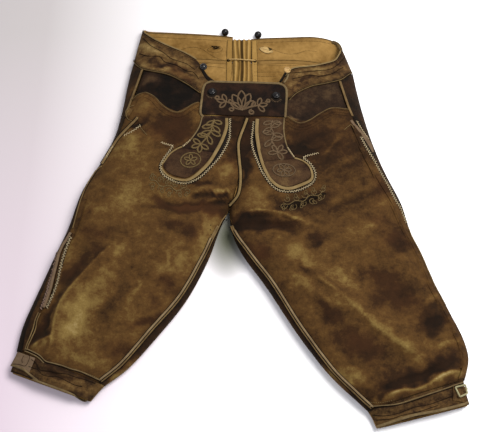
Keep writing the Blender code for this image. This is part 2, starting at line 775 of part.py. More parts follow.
def bib_grid():
    """Plan points of the drop front, with rounded corners."""
    height = BIB_TOP_LEFT[1] - BIB_BOTTOM_LEFT[1]
    above_bottom = (height - BIB_BOTTOM_ROUND, height - 1.5, height)
    rows = []
    for drop in BIB_DROPS + above_bottom:
        t = drop / height
        left = Vector(BIB_TOP_LEFT).lerp(Vector(BIB_BOTTOM_LEFT), t)
        right = Vector(BIB_TOP_RIGHT).lerp(Vector(BIB_BOTTOM_RIGHT), t)
        inset = 0.0
        for radius, away in ((BIB_TOP_ROUND, drop), (BIB_BOTTOM_ROUND, height - drop)):
            if away < radius:
                inset = radius - math.sqrt(radius**2 - (radius - away) ** 2)
        along = (right - left).normalized()
        left, right = left + along * inset, right - along * inset
        rows.append([left.lerp(right, i / BIB_COLUMNS) for i in range(BIB_COLUMNS + 1)])
    return rows


def piping(name, ground, path, width, reach, step=PIPING_STEP):
    return applique(name, ground, ribbon(smooth_path(path, step), width, 2), TRIM_LEATHER, "piping",
                    reach, PIPING_RISE)


def make_front(ground):
    made = [applique("bib", ground, bib_grid(), BIB_LEATHER, "bib", PIECE_REACH)]
    for side in SECTIONS:
        upper = between(TABS[side][: TAB_SPLIT + 1], TAB_ROWS, TAB_COLUMNS, TAB_TOP_TRIM, TAB_JOINT_TRIM)
        lower = between(TABS[side][TAB_SPLIT:], TAB_ROWS, TAB_COLUMNS, TAB_JOINT_TRIM)
        made += [
            applique(f"tab_upper_{side}", ground, upper, TRIM_LEATHER, "bib", PIECE_REACH),
            applique(f"tab_end_{side}", ground, lower, TRIM_LEATHER, "bib", PIECE_REACH),
            piping(f"tab_piping_{side}", ground, TAB_PIPING_PATHS[side], TAB_PIPING_WIDTH, TAB_PIPING_REACH),
        ]
    made.append(piping("fly_piping", ground, FLY_PIPING, FLY_PIPING_WIDTH, NARROW_REACH, FLY_PIPING_STEP))
    return made


def make_seams(ground):
    made = []
    for side, half in HALVES.items():
        strip_end = CUFF_SEAM_ROW[side] - STRIP_END
        start_turn = half.side_turn(SIDE_PIPING_START)
        band_seam = half.row_at(start_turn, f"front_seam_{side}", SIDE_PIPING_START_GAP)
        made += [
            seam_strip(f"inseam_welt_{side}", ground, half, half.inseam_turn,
                       (INSEAM_WELT_TOP, strip_end), INSEAM_STEPS, INSEAM_WELT_WIDTH, "piping"),
            seam_strip(f"side_piping_{side}", ground, half, half.side_turn,
                       (band_seam, SIDE_PIPING_END), SIDE_PIPING_STEPS, SIDE_PIPING_WIDTH, "piping"),
            seam_strip(f"side_band_{side}", ground, half, half.side_turn,
                       (SIDE_BAND_TOP[side], strip_end), SIDE_BAND_STEPS, SIDE_BAND_WIDTH, "leg",
                       SIDE_BAND_COLUMNS, SIDE_BAND_WIDTH * SIDE_BAND_SHIFT, 0.0),
        ]
    return made


def make_knife_pocket(ground):
    tab = ribbon(smooth_path(KNIFE_TAB_PATH, KNIFE_TAB_STEP), KNIFE_TAB_WIDTH, 2)
    return [
        piping("knife_pocket_welt", ground, KNIFE_POCKET_PATH, KNIFE_POCKET_WIDTH, KNIFE_POCKET_REACH),
        applique("knife_pocket_tab", ground, tab, TRIM_LEATHER, "band", KNIFE_TAB_REACH),
    ]


def make_centre_back(ground):
    """The pleated gusset, its facings and the leaf patch, all inside the back waistband."""
    steps = GUSSET_PLEATS * PLEAT_STEPS
    floor = BAND_LEATHER + LAY_GAP + GUSSET_LEATHER
    grid = []
    for y in GUSSET_ROWS:
        line = []
        narrow = GUSSET_TAPER * (GUSSET_ROWS[0] - y) / (GUSSET_ROWS[0] - GUSSET_ROWS[-1])
        for i in range(steps + 1):
            x = mix(GUSSET_LEFT, GUSSET_RIGHT, mix(i / steps, 0.5, narrow))
            pleat = 0.5 - 0.5 * math.cos(2 * math.pi * i / PLEAT_STEPS)
            line.append(Vector((x, y, floor + GUSSET_PLEAT_HEIGHT * pleat)))
        grid.append(line)
    wall("back_gusset", grid, GUSSET_LEATHER, "inside", upward)
    for side, edge, sign in (("r", GUSSET_LEFT, -1), ("l", GUSSET_RIGHT, 1)):
        near, far = sorted((edge + sign * FACING_INSET, edge + sign * FACING_WIDTH))
        rows = [[Vector((x, y)) for x in (near, 0.5 * (near + far), far)] for y in FACING_ROWS]
        applique(f"lace_facing_{side}", ground, rows, TRIM_LEATHER, "inside", NARROW_REACH)
    leaf = []
    for k in range(LEAF_STEPS + 1):
        t = mix(LEAF_TIP, 1 - LEAF_TIP, k / LEAF_STEPS)
        centre = Vector(LEAF_CENTRE) + Vector((LEAF_LENGTH, -LEAF_DROP)) * (t - 0.5)
        half_width = Vector((0, 0.5 * LEAF_WIDTH * math.sin(math.pi * t)))
        leaf.append([centre - half_width, centre, centre + half_width])
    applique("leaf_patch", ground, leaf, TRIM_LEATHER, "lace", NARROW_REACH)


def make_lace():
    route = [point * MM for point in smooth_path(LACE_PATH, LACE_STEP)]
    curve = bpy.data.curves.new("back_lace", "CURVE")
    curve.dimensions = "3D"
    curve.bevel_depth = 0.5 * LACE_WIDTH * MM
    curve.bevel_resolution = 2
    curve.use_fill_caps = True
    line = curve.splines.new("POLY")
    line.points.add(len(route) - 1)
    for point, place in zip(line.points, route):
        point.co = (*place, 1)
    curve.materials.append(material("lace"))
    lace = bpy.data.objects.new("back_lace", curve)
    bpy.context.scene.collection.objects.link(lace)
    return lace


def button(name, seat, axis, radius, profile, finish):
    shape = [(share * radius, height) for share, height in profile]
    turned(name, shape, seat, Vector(axis).normalized(), finish)


def make_buttons(ground):
    upright = (0, 0, 1)
    for side, (x, y) in BIB_BUTTONS.items():
        seat = ground.lay(x, y, LAY_GAP, BUTTON_REACH)
        button(f"bib_button_{side}", seat, upright, BIB_BUTTON_RADIUS, BUTTON_PROFILE, "horn")
    for side, path in STRAP_PATHS.items():
        strap = ribbon(smooth_path(path, STRAP_STEP), STRAP_WIDTH, 2)
        ground.add(applique(f"button_strap_{side}", ground, strap, TRIM_LEATHER, "bib", PIECE_REACH))
    seat = ground.lay(*BRACE_BUTTON_FRONT_R, 2 * LAY_GAP, BUTTON_REACH)
    button("brace_button_front_r", seat, BRACE_BUTTON_TILT, BRACE_BUTTON_RADIUS, BUTTON_PROFILE, "horn")
    seat = ground.lay(*BRACE_DISH_FRONT_L, LAY_GAP, DISH_REACH)
    button("brace_button_front_l", seat, upright, DISH_RADIUS, DISH_PROFILE, "pale_horn")
    radius = BRACE_BUTTON_RADIUS
    clear = math.sqrt(radius**2 - (radius - BAND_LEATHER) ** 2) + LAY_GAP
    angles = [math.pi * k / BALL_STEPS for k in range(BALL_STEPS + 1)]
    ball = [(abs(round(math.sin(angle), 9)), -radius * math.cos(angle)) for angle in angles]
    for side, x in BRACE_BUTTON_BACK.items():
        seat = Vector((x, border_y("back_top", x) + clear, radius))
        button(f"brace_button_back_{side}", seat, upright, radius, ball, "horn")


def make_cuff_trim(ground):
    strap = ribbon(smooth_path(CUFF_STRAP_PATH, CUFF_STRAP_STEP), CUFF_STRAP_WIDTH, CUFF_TRIM_COLUMNS)
    applique("cuff_strap_r", ground, strap, TRIM_LEATHER, "leg", CUFF_TRIM_REACH)
    loop = ribbon(smooth_path(CUFF_LOOP_PATH, CUFF_LOOP_STEP), CUFF_LOOP_WIDTH, CUFF_TRIM_COLUMNS)
    applique("cuff_loop_l", ground, loop, TRIM_LEATHER, "leg", CUFF_TRIM_REACH)


def centre_on_table():
    """Moves every piece so that the middle of the whole lies over the origin and its lowest point at 0."""
    graph = bpy.context.evaluated_depsgraph_get()
    low, high = Vector((1e9,) * 3), Vector((-1e9,) * 3)
    for piece in bpy.context.scene.objects:
        shape = piece.evaluated_get(graph)
        mesh = shape.to_mesh()
        for vertex in mesh.vertices:
            for k in range(3):
                low[k] = min(low[k], vertex.co[k])
                high[k] = max(high[k], vertex.co[k])
        shape.to_mesh_clear()
    shift = Vector((-0.5 * (low.x + high.x), -0.5 * (low.y + high.y), -low.z))
    for piece in bpy.context.scene.objects:
        piece.location = shift


def main():
    for old in list(bpy.data.objects):
        bpy.data.objects.remove(old, do_unlink=True)
    panels = [piece for half in HALVES.values() for piece in make_panels(half)]
    inside = Ground()
    inside.add(*(piece for piece in panels if piece.name.startswith(("waistband_back", "back_leg"))))
    make_centre_back(inside)
    make_lace()
    ground = Ground()
    for half in HALVES.values():
        ground.add_guide(half)
    ground.add(*panels)
    front = make_front(ground)
    ground.add(*make_seams(ground))
    ground.add(*make_knife_pocket(ground))
    ground.add(*front)
    make_buttons(ground)
    make_cuff_trim(ground)
    centre_on_table()


main()
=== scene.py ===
"""Dresses the laid-out leather trousers: worn leather, sewing, embroidery, horn buttons, the lace.

Tables are in millimetres on the cutting plan, whose origin lies a little off the part's own.
Names end in _r for the wearer's right half and _l for the left.
"""

import math
from collections import namedtuple

import bmesh
import bpy
import numpy as np
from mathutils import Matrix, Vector, noise
from mathutils.bvhtree import BVHTree


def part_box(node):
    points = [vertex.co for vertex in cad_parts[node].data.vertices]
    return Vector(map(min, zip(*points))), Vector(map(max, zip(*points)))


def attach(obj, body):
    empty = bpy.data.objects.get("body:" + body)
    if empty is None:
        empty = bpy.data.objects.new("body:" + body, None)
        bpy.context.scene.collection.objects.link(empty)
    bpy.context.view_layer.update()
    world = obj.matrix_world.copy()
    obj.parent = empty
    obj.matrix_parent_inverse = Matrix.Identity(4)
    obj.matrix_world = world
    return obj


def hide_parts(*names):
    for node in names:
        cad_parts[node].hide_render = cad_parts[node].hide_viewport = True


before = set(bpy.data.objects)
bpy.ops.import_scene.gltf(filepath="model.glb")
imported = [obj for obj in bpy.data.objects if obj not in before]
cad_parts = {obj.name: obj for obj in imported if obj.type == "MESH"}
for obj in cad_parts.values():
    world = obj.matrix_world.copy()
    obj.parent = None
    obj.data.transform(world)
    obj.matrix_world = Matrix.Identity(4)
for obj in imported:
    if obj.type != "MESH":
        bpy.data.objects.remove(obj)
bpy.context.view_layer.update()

MM = 0.001
PLAN_X, PLAN_Y = -3.17, -40.82
DOWN = Vector((0, 0, -1))
UP = Vector((0, 0, 1))


def to_part(x, y, z=0.0):
    """A point of the plan, in metres on the part."""
    return Vector(((x + PLAN_X) * MM, (y + PLAN_Y) * MM, z * MM))


def table(columns, *rows, defaults=()):
    """Rows whose values are read by the names of their columns."""
    row_type = namedtuple("Row", columns, defaults=defaults)
    return [row_type(*row) for row in rows]


def put(made):
    """Sets an object into the scene."""
    bpy.context.scene.collection.objects.link(made)
    return made


def settled(stand_in):
    """The mesh that an object's modifier or bevel makes. The object goes."""
    bpy.context.view_layer.update()
    graph = bpy.context.evaluated_depsgraph_get()
    mesh = bpy.data.meshes.new_from_object(stand_in.evaluated_get(graph))
    bpy.data.objects.remove(stand_in)
    return mesh


def shape_of(work, mesh):
    """A mesh that takes a finished bmesh's shape."""
    work.to_mesh(mesh)
    work.free()
    return mesh


# ---------------------------------------------------------------- folds

# Soft ridges (+) and troughs (-): points on the plan, half width, height
CREASES = table(
    "path half_width height",
    (((-262, -78), (-290, -115), (-314, -160), (-322, -200)), 9, -3.0),
    (((-346, -225), (-329, -214), (-310, -208)), 7, 3.0),
    (((-340, -208), (-325, -196), (-316, -180)), 8, -3.0),
    (((-17, 42), (-35, 39), (-58, 30), (-80, 28), (-103, 29), (-125, 35), (-150, 44)), 6, -2.8),
    (((-50, 72), (-74, 72), (-96, 71)), 6, -2.6),
    (((-34, 62), (-60, 60), (-92, 58)), 6, 2.0),
    (((-96, -62), (-112, -88), (-128, -106)), 9, 1.6),
    (((-148, -104), (-168, -124), (-186, -148)), 9, 1.6),
    (((-180, -226), (-200, -232), (-226, -240)), 9, -1.6),
    (((-128, -180), (-162, -184), (-190, -180)), 9, -1.8),
    (((-10, 6), (15, 14), (51, 15), (81, 11), (107, -3), (130, -10)), 7, 3.4),
    (((-8, -7), (32, -7), (74, -9), (103, -22)), 11, -5.0),
    (((163, 35), (190, 46), (217, 58), (249, 77)), 8, 1.8),
    (((160, 22), (192, 34), (224, 46)), 8, -1.8),
    (((145, 89), (172, 103), (200, 119), (228, 136)), 9, 2.0),
    (((118, 132), (150, 138), (186, 152)), 9, -2.2),
    (((90, -66), (117, -84), (144, -115), (171, -144), (198, -165), (239, -199), (287, -237), (309, -256)),
     14, 1.8),
    (((92, -98), (120, -128), (150, -152)), 9, 1.6),
    (((104, -88), (136, -120), (160, -142)), 8, -1.8),
    (((338, -132), (317, -151), (302, -169)), 7, 2.6),
    (((361, -197), (340, -205), (320, -213)), 7, 2.4),
    (((225, -294), (262, -282), (300, -272), (345, -246)), 9, -3.6),
    (((290, -200), (318, -184), (346, -176)), 11, -2.6),
    (((316, -216), (336, -222), (360, -214)), 8, 2.0),
    (((250, 20), (232, -10), (206, -30)), 12, 1.8),
    (((286, -52), (262, -66), (240, -70)), 11, -1.8),
    (((-214, 214), (-190, 196), (-176, 176)), 7, -2.4),
    (((-150, 205), (-120, 200), (-96, 206)), 10, -2.0),
    (((-168, 236), (-186, 228), (-200, 230)), 8, 1.6),
    (((-198, 384), (-176, 366), (-150, 350), (-118, 336)), 7, 1.8),
    (((-190, 362), (-160, 346), (-130, 330), (-104, 308)), 6, -1.6),
    (((110, 300), (140, 302), (172, 306), (200, 326)), 7, 1.4),
    (((-344, -240), (-329, -250), (-302, -260), (-265, -275), (-232, -288)), 4, 1.4),
    (((-340, -250), (-325, -260), (-299, -268), (-262, -284), (-236, -296)), 4, -1.2),
    (((-346, -258), (-325, -268), (-300, -277), (-262, -292)), 4, 1.2),
    (((214, -322), (234, -325), (255, -321), (276, -311), (307, -302), (354, -296)), 4, 1.4),
    (((218, -330), (240, -331), (264, -328), (288, -319), (330, -308), (366, -304)), 4, -1.2),
    (((224, -338), (246, -338), (270, -333), (300, -326), (344, -314)), 4, 1.2),
)


def smooth_path(points, step):
    """Points about a step apart on a smooth line through the given ones."""
    points = [np.array(point, float) for point in points]
    ends = [2 * points[0] - points[1]] + points + [2 * points[-1] - points[-2]]
    path = []
    for a, b, c, d in zip(ends, ends[1:], ends[2:], ends[3:]):
        count = max(1, round(float(np.linalg.norm(c - b)) / step))
        for k in range(count):
            t = k / count
            path.append(b + 0.5 * t * (c - a + t * (2 * a - 5 * b + 4 * c - d + t * (3 * (b - c) + d - a))))
    return np.array(path + [points[-1]])


def near_path(spots, path):
    """For each spot: how far from a path, how far along it (0 to 1), and 1 on its left or -1 on its right."""
    away = np.full(len(spots), 1e9)
    along, side = np.zeros(len(spots)), np.ones(len(spots))
    for k, (a, b) in enumerate(zip(path, path[1:])):
        step = b - a
        t = np.clip((spots - a) @ step / max(step @ step, 1e-9), 0, 1)
        distance = np.linalg.norm(spots - a - t[:, None] * step, axis=1)
        closer = distance < away
        away[closer] = distance[closer]
        along[closer] = (k + t[closer]) / (len(path) - 1)
        side[closer] = np.sign(step[0] * (spots - a)[:, 1] - step[1] * (spots - a)[:, 0])[closer]
    return away, along, side


CREASE_END = 0.12        # share of a crease's rise that it starts and ends with


def crease_height(spots):
    total = np.zeros(len(spots))
    for crease in CREASES:
        away, along, _ = near_path(spots, smooth_path(crease.path, 12))
        bell = np.clip(1 - (away / crease.half_width) ** 2, 0, 1) ** 2
        total += crease.height * bell * np.sin(np.pi * (CREASE_END + (1 - 2 * CREASE_END) * along))
    return total


# Sharp folds: points on the plan, width and height of the face that shows, the side that falls away steeply
# (1 left, -1 right of the path's run), and how dark the painted shade in the hollow there is
FOLDS = table(
    "path wide high steep dark",
    (((-215, -41), (-234, -63), (-254, -88), (-267, -104), (-280, -121), (-294, -142), (-301, -157),
      (-305, -175), (-307, -197), (-308, -215), (-312, -230)), 26, 3.6, -1, 0.26),
    (((-90, 51), (-82, 52), (-69, 54), (-53, 54), (-38, 54), (-22, 55), (-13, 54)), 9, 4.2, -1, 0.3),
    (((-4, 14), (7, 18), (19, 19), (37, 19), (57, 17), (73, 14), (91, 5), (107, -1), (120, -3)),
     14, 2.4, -1, 0.24),
    (((-66, 28), (-62, 30), (-53, 37), (-38, 43), (-25, 44), (-17, 41)), 8, 3.2, -1, 0.3),
    (((228, -309), (251, -299), (269, -295), (288, -294), (308, -285), (327, -273), (345, -265), (361, -264),
      (371, -269)), 13, 3.4, 1, 0.4),
    (((127, -106), (153, -121), (177, -141), (195, -161), (212, -176), (224, -191), (248, -210), (268, -223),
      (284, -234), (300, -245)), 22, 2.2, -1, 0.1),
    (((-343, -225), (-331, -216), (-319, -211), (-307, -207)), 9, 2.8, 1, 0.32),
)
STEEP_WIDTH = 3.6
CREST_WIDTH = 2.6
CREST_HIGHLIGHT, CREST_LEAST = 0.44, 0.1     # a crest gets a painted highlight in proportion to its hollow's painted shade
HOLLOW_WIDTH = 11
FOLD_TAPER = 7           # a fold is at its full height from 1/7 of its length on, at both ends


def fold_lines(spots):
    """The height and the tone that the sharp folds add: a painted highlight on each crest and painted shade in
    each hollow.
    """
    height, tone = np.zeros(len(spots)), np.zeros(len(spots))
    for line in FOLDS:
        away, along, side = near_path(spots, smooth_path(line.path, 6))
        face = side * -line.steep * away
        strength = np.clip(FOLD_TAPER * np.minimum(along, 1 - along), 0, 1)
        width = np.where(face > 0, line.wide, STEEP_WIDTH)
        height += line.high * np.exp(-((face / width) ** 2)) * strength
        hollow = np.exp(face / HOLLOW_WIDTH) * np.clip(-face / STEEP_WIDTH, 0, 1)
        crest = CREST_HIGHLIGHT * (line.dark + CREST_LEAST) * np.exp(-((face / CREST_WIDTH) ** 2))
        tone += (crest - line.dark * hollow) * strength
    return height, tone


def rumple(spots, size, seed):
    """Gentle unevenness, from -1 to 1, of about that size."""
    return np.array([noise.noise(Vector((x / size + seed, y / size, seed))) for x, y in spots])


FOLDED_FROM, FOLDED_OVER = 4, 18      # the folds fade in from this height over the table on, and over how much
UNDER_HEIGHT = 12                     # the underside's own unevenness ends here


def fold_shift(spots, heights):
    """How far the leather is lifted by its folds. It fades out towards the table."""
    top = crease_height(spots) + fold_lines(spots)[0]
    top += 1.3 * rumple(spots, 34, 3.7) + 0.45 * rumple(spots, 11, 8.1)
    ramp = np.clip((heights - FOLDED_FROM) / FOLDED_OVER, 0, 1)
    ramp = ramp * ramp * (3 - 2 * ramp)
    under = 0.9 * np.clip(rumple(spots, 46, 12.3) + 0.1, 0, 1)
    return top * ramp + under * (1 - ramp) * np.clip(1 - heights / UNDER_HEIGHT, 0, 1)


# ---------------------------------------------------------------- leather

# Paler (+) and darker (-) places: rubbed wear and stains, with painted shade in hollows and under folds and
# painted highlights on ridges among them: centre on the plan, half length, half width, turn in degrees, tone,
# warmth
PATCHES = table(
    "x y long wide turn tone warm",
    (-76, 20, 78, 7, -3, -0.26, 0.8), (-38, 49, 34, 3.5, 0, -0.24, 0.3), (-50, -8, 14, 30, -10, 0.1, 0.2),
    (-190, -262, 48, 13, 42, 0.46, -0.2), (160, -272, 34, 12, -48, 0.42, 0.2), (300, -289, 78, 9, 17, 0.16, 0),
    (-268, -196, 70, 44, 62, 0.1, -0.3), (-174, 292, 44, 13, 35, 0.34, 0.1), (-205, 262, 52, 10, 82, 0.1, 0),
    (-196, 188, 20, 7, 25, -0.45, 0), (-60, 203, 18, 7, 0, 0.12, 0), (112, 36, 52, 9, 18, -0.3, 0),
    (110, 132, 30, 9, -8, -0.24, 0), (150, 134, 60, 7, 35, 0.1, 0), (-84, 48, 26, 14, 0, 0.06, 0),
    (2, 150, 46, 24, 90, -0.26, 0.2), (160, 110, 100, 90, 0, -0.09, 0), (130, -110, 80, 60, -40, -0.05, 0),
    (-29, 190, 18, 12, 90, -0.12, 0.2), (-113, 312, 60, 4, -20, -0.2, 0), (-188, 371, 30, 9, -45, 0.14, 0),
    (-12, 150, 50, 13, 90, -0.2, 0.1), (15, 150, 60, 8, 90, -0.24, 0), (5, 216, 74, 10, 0, -0.2, 0.2),
    (5, 270, 60, 12, 0, 0.08, 0.1), (-55, 208, 22, 8, 0, 0.2, 0), (60, 208, 22, 7, 0, 0.14, 0),
    (104, 203, 14, 5, -18, 0.45, 0.3), (-150, 327, 60, 5, -30, -0.26, 0.1), (-112, 303, 32, 7, -30, 0.16, 0.9),
    (-170, 366, 36, 8, -40, 0.14, 0), (-180, 324, 22, 6, -25, 0.14, 0.2), (-94, 285, 20, 6, -38, -0.24, 0.4),
    (128, 291, 40, 5, 12, -0.2, 0.2), (150, 316, 50, 6, 10, 0.14, 0), (195, 330, 30, 10, 55, -0.16, 0),
    (108, 268, 24, 6, 42, -0.2, 0.3), (-300, -262, 40, 6, -20, -0.14, 0.3), (-262, -284, 30, 6, -22, 0.12, 0),
    (130, 150, 95, 60, 0, -0.09, 0.05), (-110, 165, 80, 50, 0, -0.05, 0.1), (150, 30, 120, 45, 8, -0.05, 0),
    (-8, 190, 24, 12, 0, -0.3, 0.1), (12, 120, 7, 50, 0, -0.3, 0), (-142, -150, 60, 50, 40, 0.03, 0),
    (-60, -60, 20, 60, -30, 0.06, 0), (-277, -183, 48, 27, 78, 0.2, -0.45),
    (-233, -112, 66, 23, 55, 0.16, -0.35), (-204, -56, 19, 16, 0, 0.14, -0.2),
    (-265, -69, 33, 14, 50, -0.16, 0.35), (-289, -103, 25, 9, 60, -0.22, 0.5),
    (-327, -191, 26, 16, 75, -0.3, 0.25), (-325, -219, 17, 7, 30, 0.2, 0.1), (-363, -202, 30, 9, 70, -0.34, 0),
    (-214, -161, 61, 17, 60, -0.1, -0.1), (-86, -27, 17, 13, 0, -0.18, 0.5), (-114, -8, 39, 10, -5, -0.14, 0.5),
    (-100, 29, 58, 9, 0, -0.24, 0.6), (-125, -114, 21, 14, 0, -0.18, 0.4), (-162, -183, 30, 10, 10, -0.22, 0.6),
    (-200, -226, 25, 17, 30, -0.14, 0.4), (-126, -81, 36, 6, 60, 0.12, 0.1), (-168, -124, 33, 6, 55, 0.11, 0.1),
    (-252, 22, 25, 17, 0, 0.08, -0.1), (-267, -19, 19, 12, -20, -0.12, 0.4), (-201, 51, 36, 29, 0, 0.07, -0.3),
    (-238, -30, 22, 12, 0, -0.12, 0.4), (-60, -33, 12, 35, -15, 0.1, 0.2), (-91, -68, 25, 14, 40, 0.06, 0.1),
    (-243, -249, 50, 10, -15, 0.08, -0.2), (-141, -148, 17, 12, 0, -0.1, 0.4),
    (-310, -184, 7, 35, -10, 0.16, 0), (170, -101, 57, 19, -30, 0.18, -0.25),
    (105, -59, 36, 19, -40, 0.12, -0.1), (101, -111, 27, 16, -45, 0.14, -0.1),
    (147, -138, 39, 16, -45, 0.1, -0.2), (210, -173, 60, 13, -40, 0.08, -0.2),
    (268, -226, 39, 14, -42, 0.1, -0.3), (188, -264, 39, 14, -45, 0.14, -0.2),
    (142, -190, 33, 16, -45, 0.06, -0.2), (331, -225, 39, 9, 25, 0.12, -0.1), (323, -144, 27, 8, 45, 0.14, 0),
    (243, -106, 42, 19, -15, -0.22, 0.6), (266, -142, 45, 22, -10, -0.2, 0.6),
    (152, -165, 27, 13, -25, -0.24, 0.6), (202, -222, 42, 23, -25, -0.24, 0.7),
    (325, -181, 25, 22, 20, -0.32, 0.3), (337, -248, 33, 13, 20, -0.3, 0.2),
    (274, -280, 51, 14, 18, -0.28, 0.2), (135, -35, 19, 11, 10, -0.28, 0.4), (41, -58, 28, 17, -25, -0.22, 0.9),
    (15, 0, 36, 14, -5, -0.45, 0.1), (77, -8, 36, 9, -5, -0.14, 0.5), (88, 8, 42, 5, -22, 0.14, 0.2),
    (30, 21, 30, 4, 0, 0.1, 0.2), (240, -1, 24, 14, 0, -0.14, 0.5), (251, 63, 18, 28, -20, -0.14, 0.5),
    (280, -37, 36, 17, -10, -0.2, 0.5), (45, 54, 45, 19, 10, 0.12, 0.15), (15, 30, 30, 9, 10, 0.1, -0.1),
    (186, -32, 42, 16, 20, 0.05, -0.3), (177, 36, 36, 9, 20, 0.05, -0.2), (335, -272, 33, 9, 15, 0.2, 0.1),
    (255, -298, 33, 8, 25, 0.18, 0.1), (196, 100, 33, 19, 25, 0, -0.1), (117, -91, 24, 9, -45, -0.14, 0.2),
    (66, -86, 21, 13, -30, 0.06, 0), (372, -78, 21, 63, 0, -0.12, 0.3), (-120, 193, 35, 19, 0, -0.26, 0.6),
    (-109, 163, 22, 17, 0, -0.3, 0.7), (-152, 174, 18, 15, 0, -0.02, 0.6), (-184, 239, 22, 13, 0, 0.06, 0.1),
    (-183, 143, 39, 32, 0, 0.13, -0.3), (-267, 19, 16, 13, 0, -0.12, 0.4), (-223, 53, 24, 19, 0, -0.04, -0.1),
    (-24, 93, 18, 13, 0, 0.12, 0.2), (-29, 116, 14, 6, -20, -0.18, 0.7), (-67, 70, 22, 5, -3, -0.28, 0.3),
    (-35, 57, 24, 4, 5, 0.16, 0.2), (-80, 28, 39, 4, 0, -0.28, 0.9), (-139, 40, 16, 6, -25, -0.24, 0.9),
    (-48, 9, 18, 19, 0, 0.1, 0.3), (-179, 205, 12, 9, 30, -0.25, 0.3), (18, 163, 8, 31, -5, -0.34, 0.2),
    (-14, 196, 7, 16, 0, -0.3, 0.2), (-17, 101, 10, 16, 0, 0.12, 0.2), (14, 56, 19, 13, 0, 0.1, 0.1),
    (109, 136, 19, 11, -30, -0.34, 0.1), (137, 165, 29, 9, 20, -0.18, 0.2), (158, 141, 29, 11, 20, 0.05, 0),
    (109, 167, 16, 11, 0, -0.05, 0.1), (47, 28, 26, 7, 0, 0.1, -0.2), (104, 28, 38, 7, 15, -0.1, 0.2),
)


# How a patch's edge wanders: by how much, in waves of what size, and the seed
WOBBLES = ((14, 24, 21.0), (5, 9, 41.0))


def patch_tones(spots):
    tone, warm = np.zeros(len(spots)), np.zeros(len(spots))
    wobble = sum(
        reach * np.stack([rumple(spots, size, seed), rumple(spots, size, seed + 12)], 1)
        for reach, size, seed in WOBBLES
    )
    for patch in PATCHES:
        turn = math.radians(patch.turn)
        offset = spots + wobble - (patch.x, patch.y)
        along = offset @ (math.cos(turn), math.sin(turn)) / patch.long
        across = offset @ (-math.sin(turn), math.cos(turn)) / patch.wide
        inside = np.exp(-1.3 * (along**2 + across**2))
        tone += patch.tone * inside
        warm += patch.warm * inside
    return tone, warm


def points_of(mesh):
    """A mesh's points in millimetres on the plan."""
    spots = np.empty(len(mesh.vertices) * 3)
    mesh.vertices.foreach_get("co", spots)
    return spots.reshape(-1, 3) / MM - (PLAN_X, PLAN_Y, 0)


def move_points(mesh, points):
    mesh.vertices.foreach_set("co", ((points + (PLAN_X, PLAN_Y, 0)) * MM).ravel())
    mesh.update()


def facing_up(mesh):
    """How far each point's normal faces up, from -1 to 1."""
    normals = np.empty(len(mesh.vertices) * 3)
    mesh.vertices.foreach_get("normal", normals)
    return normals[2::3]


def add_value(mesh, name, values):
    layer = mesh.attributes.get(name) or mesh.attributes.new(name, "FLOAT", "POINT")
    layer.data.foreach_set("value", np.asarray(values, np.float32))


def value_of(mesh, name):
    values = np.empty(len(mesh.vertices), np.float32)
    mesh.attributes[name].data.foreach_get("value", values)
    return values


LINING_HEIGHT = 13       # over this the leather's inside faces down, under it up
PATCH_STRENGTH = 1.35
CREASE_SHADING = 0.05       # how much paler a ridge is for each millimetre that it stands up, and a trough darker for each that it sinks: painted highlight and painted shade
EDGE_DARKENING = 0.08        # how much darker a piece is towards its edges
# The left leg's side seam, which lies flat and hardly shows
FLAT_SEAM = (
    (226, 170), (240, 140), (262, 92), (283, 45), (297, 2), (312, -46), (328, -96), (350, -150), (368, -200),
    (375, -250), (370, -275),
)
FLAT_SEAM_REACH = 18


def paint(mesh, base, lined=0.0):
    """Gives each point its tone and warmth: the piece's own, the patches, and the folds' painted highlights on
    ridges and painted shade in troughs and hollows.
    The value named lining is 1 on the pale inside of the leather."""
    spots = points_of(mesh)
    tone, warm = patch_tones(spots[:, :2])
    # Stains and rubbed wear from the patches, painted highlights on ridges and crests, and painted shade in
    # troughs and fold hollows
    shifted = tone * PATCH_STRENGTH + CREASE_SHADING * crease_height(spots[:, :2]) + fold_lines(spots[:, :2])[1]
    # Darker towards each piece's edges, except along the flat side seam
    edge_darkened = near_path(spots[:, :2], np.array(FLAT_SEAM, float))[0] > FLAT_SEAM_REACH
    add_value(mesh, "tone", base + shifted - EDGE_DARKENING * value_of(mesh, "rim") * edge_darkened)
    add_value(mesh, "warm", warm)
    low = spots[:, 2] < LINING_HEIGHT
    add_value(mesh, "lining", np.clip(np.where(low, 1, -1) * facing_up(mesh) * 4, 0, 1) * lined)


def link(name, mesh, finish):
    made = put(bpy.data.objects.new(name, mesh))
    mesh.materials.clear()
    mesh.materials.append(finish)
    mesh.shade_smooth()
    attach(made, "root")
    return made


EDGE_ANGLE = 0.9         # radians between two faces that meet at a piece's edge


def smooth_copy(node, levels, rim):
    """A subdivided copy of a solid's mesh. Its edges stay as sharp as rim says, up to 1.
    Its values are skin, 1 on the upper side, and rim, 1 at its edges."""
    work = bmesh.new()
    work.from_mesh(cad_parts[node].data)
    bmesh.ops.remove_doubles(work, verts=work.verts, dist=2e-6)
    bmesh.ops.join_triangles(
        work, faces=work.faces, angle_face_threshold=0.8, angle_shape_threshold=0.9,
        cmp_seam=False, cmp_sharp=False, cmp_uvs=False, cmp_vcols=False, cmp_materials=False,
    )
    work.normal_update()
    crease = work.edges.layers.float.new("crease_edge")
    skin = work.verts.layers.float.new("skin")
    rim_value = work.verts.layers.float.new("rim")
    for edge in work.edges:
        if edge.is_manifold and edge.calc_face_angle() > EDGE_ANGLE:
            edge[crease] = rim
            for vertex in edge.verts:
                vertex[rim_value] = 1.0
    for vertex in work.verts:
        vertex[skin] = 1.0 if vertex.normal.z > 0 else 0.0
    mesh = shape_of(work, bpy.data.meshes.new(node + "_copy"))
    stand_in = put(bpy.data.objects.new(node + "_copy", mesh))
    finer = stand_in.modifiers.new("Smooth", "SUBSURF")
    finer.levels = finer.render_levels = levels
    finished = settled(stand_in)
    bpy.data.meshes.remove(mesh)
    return finished


OVERHEAD = 200           # a height well over the whole garment


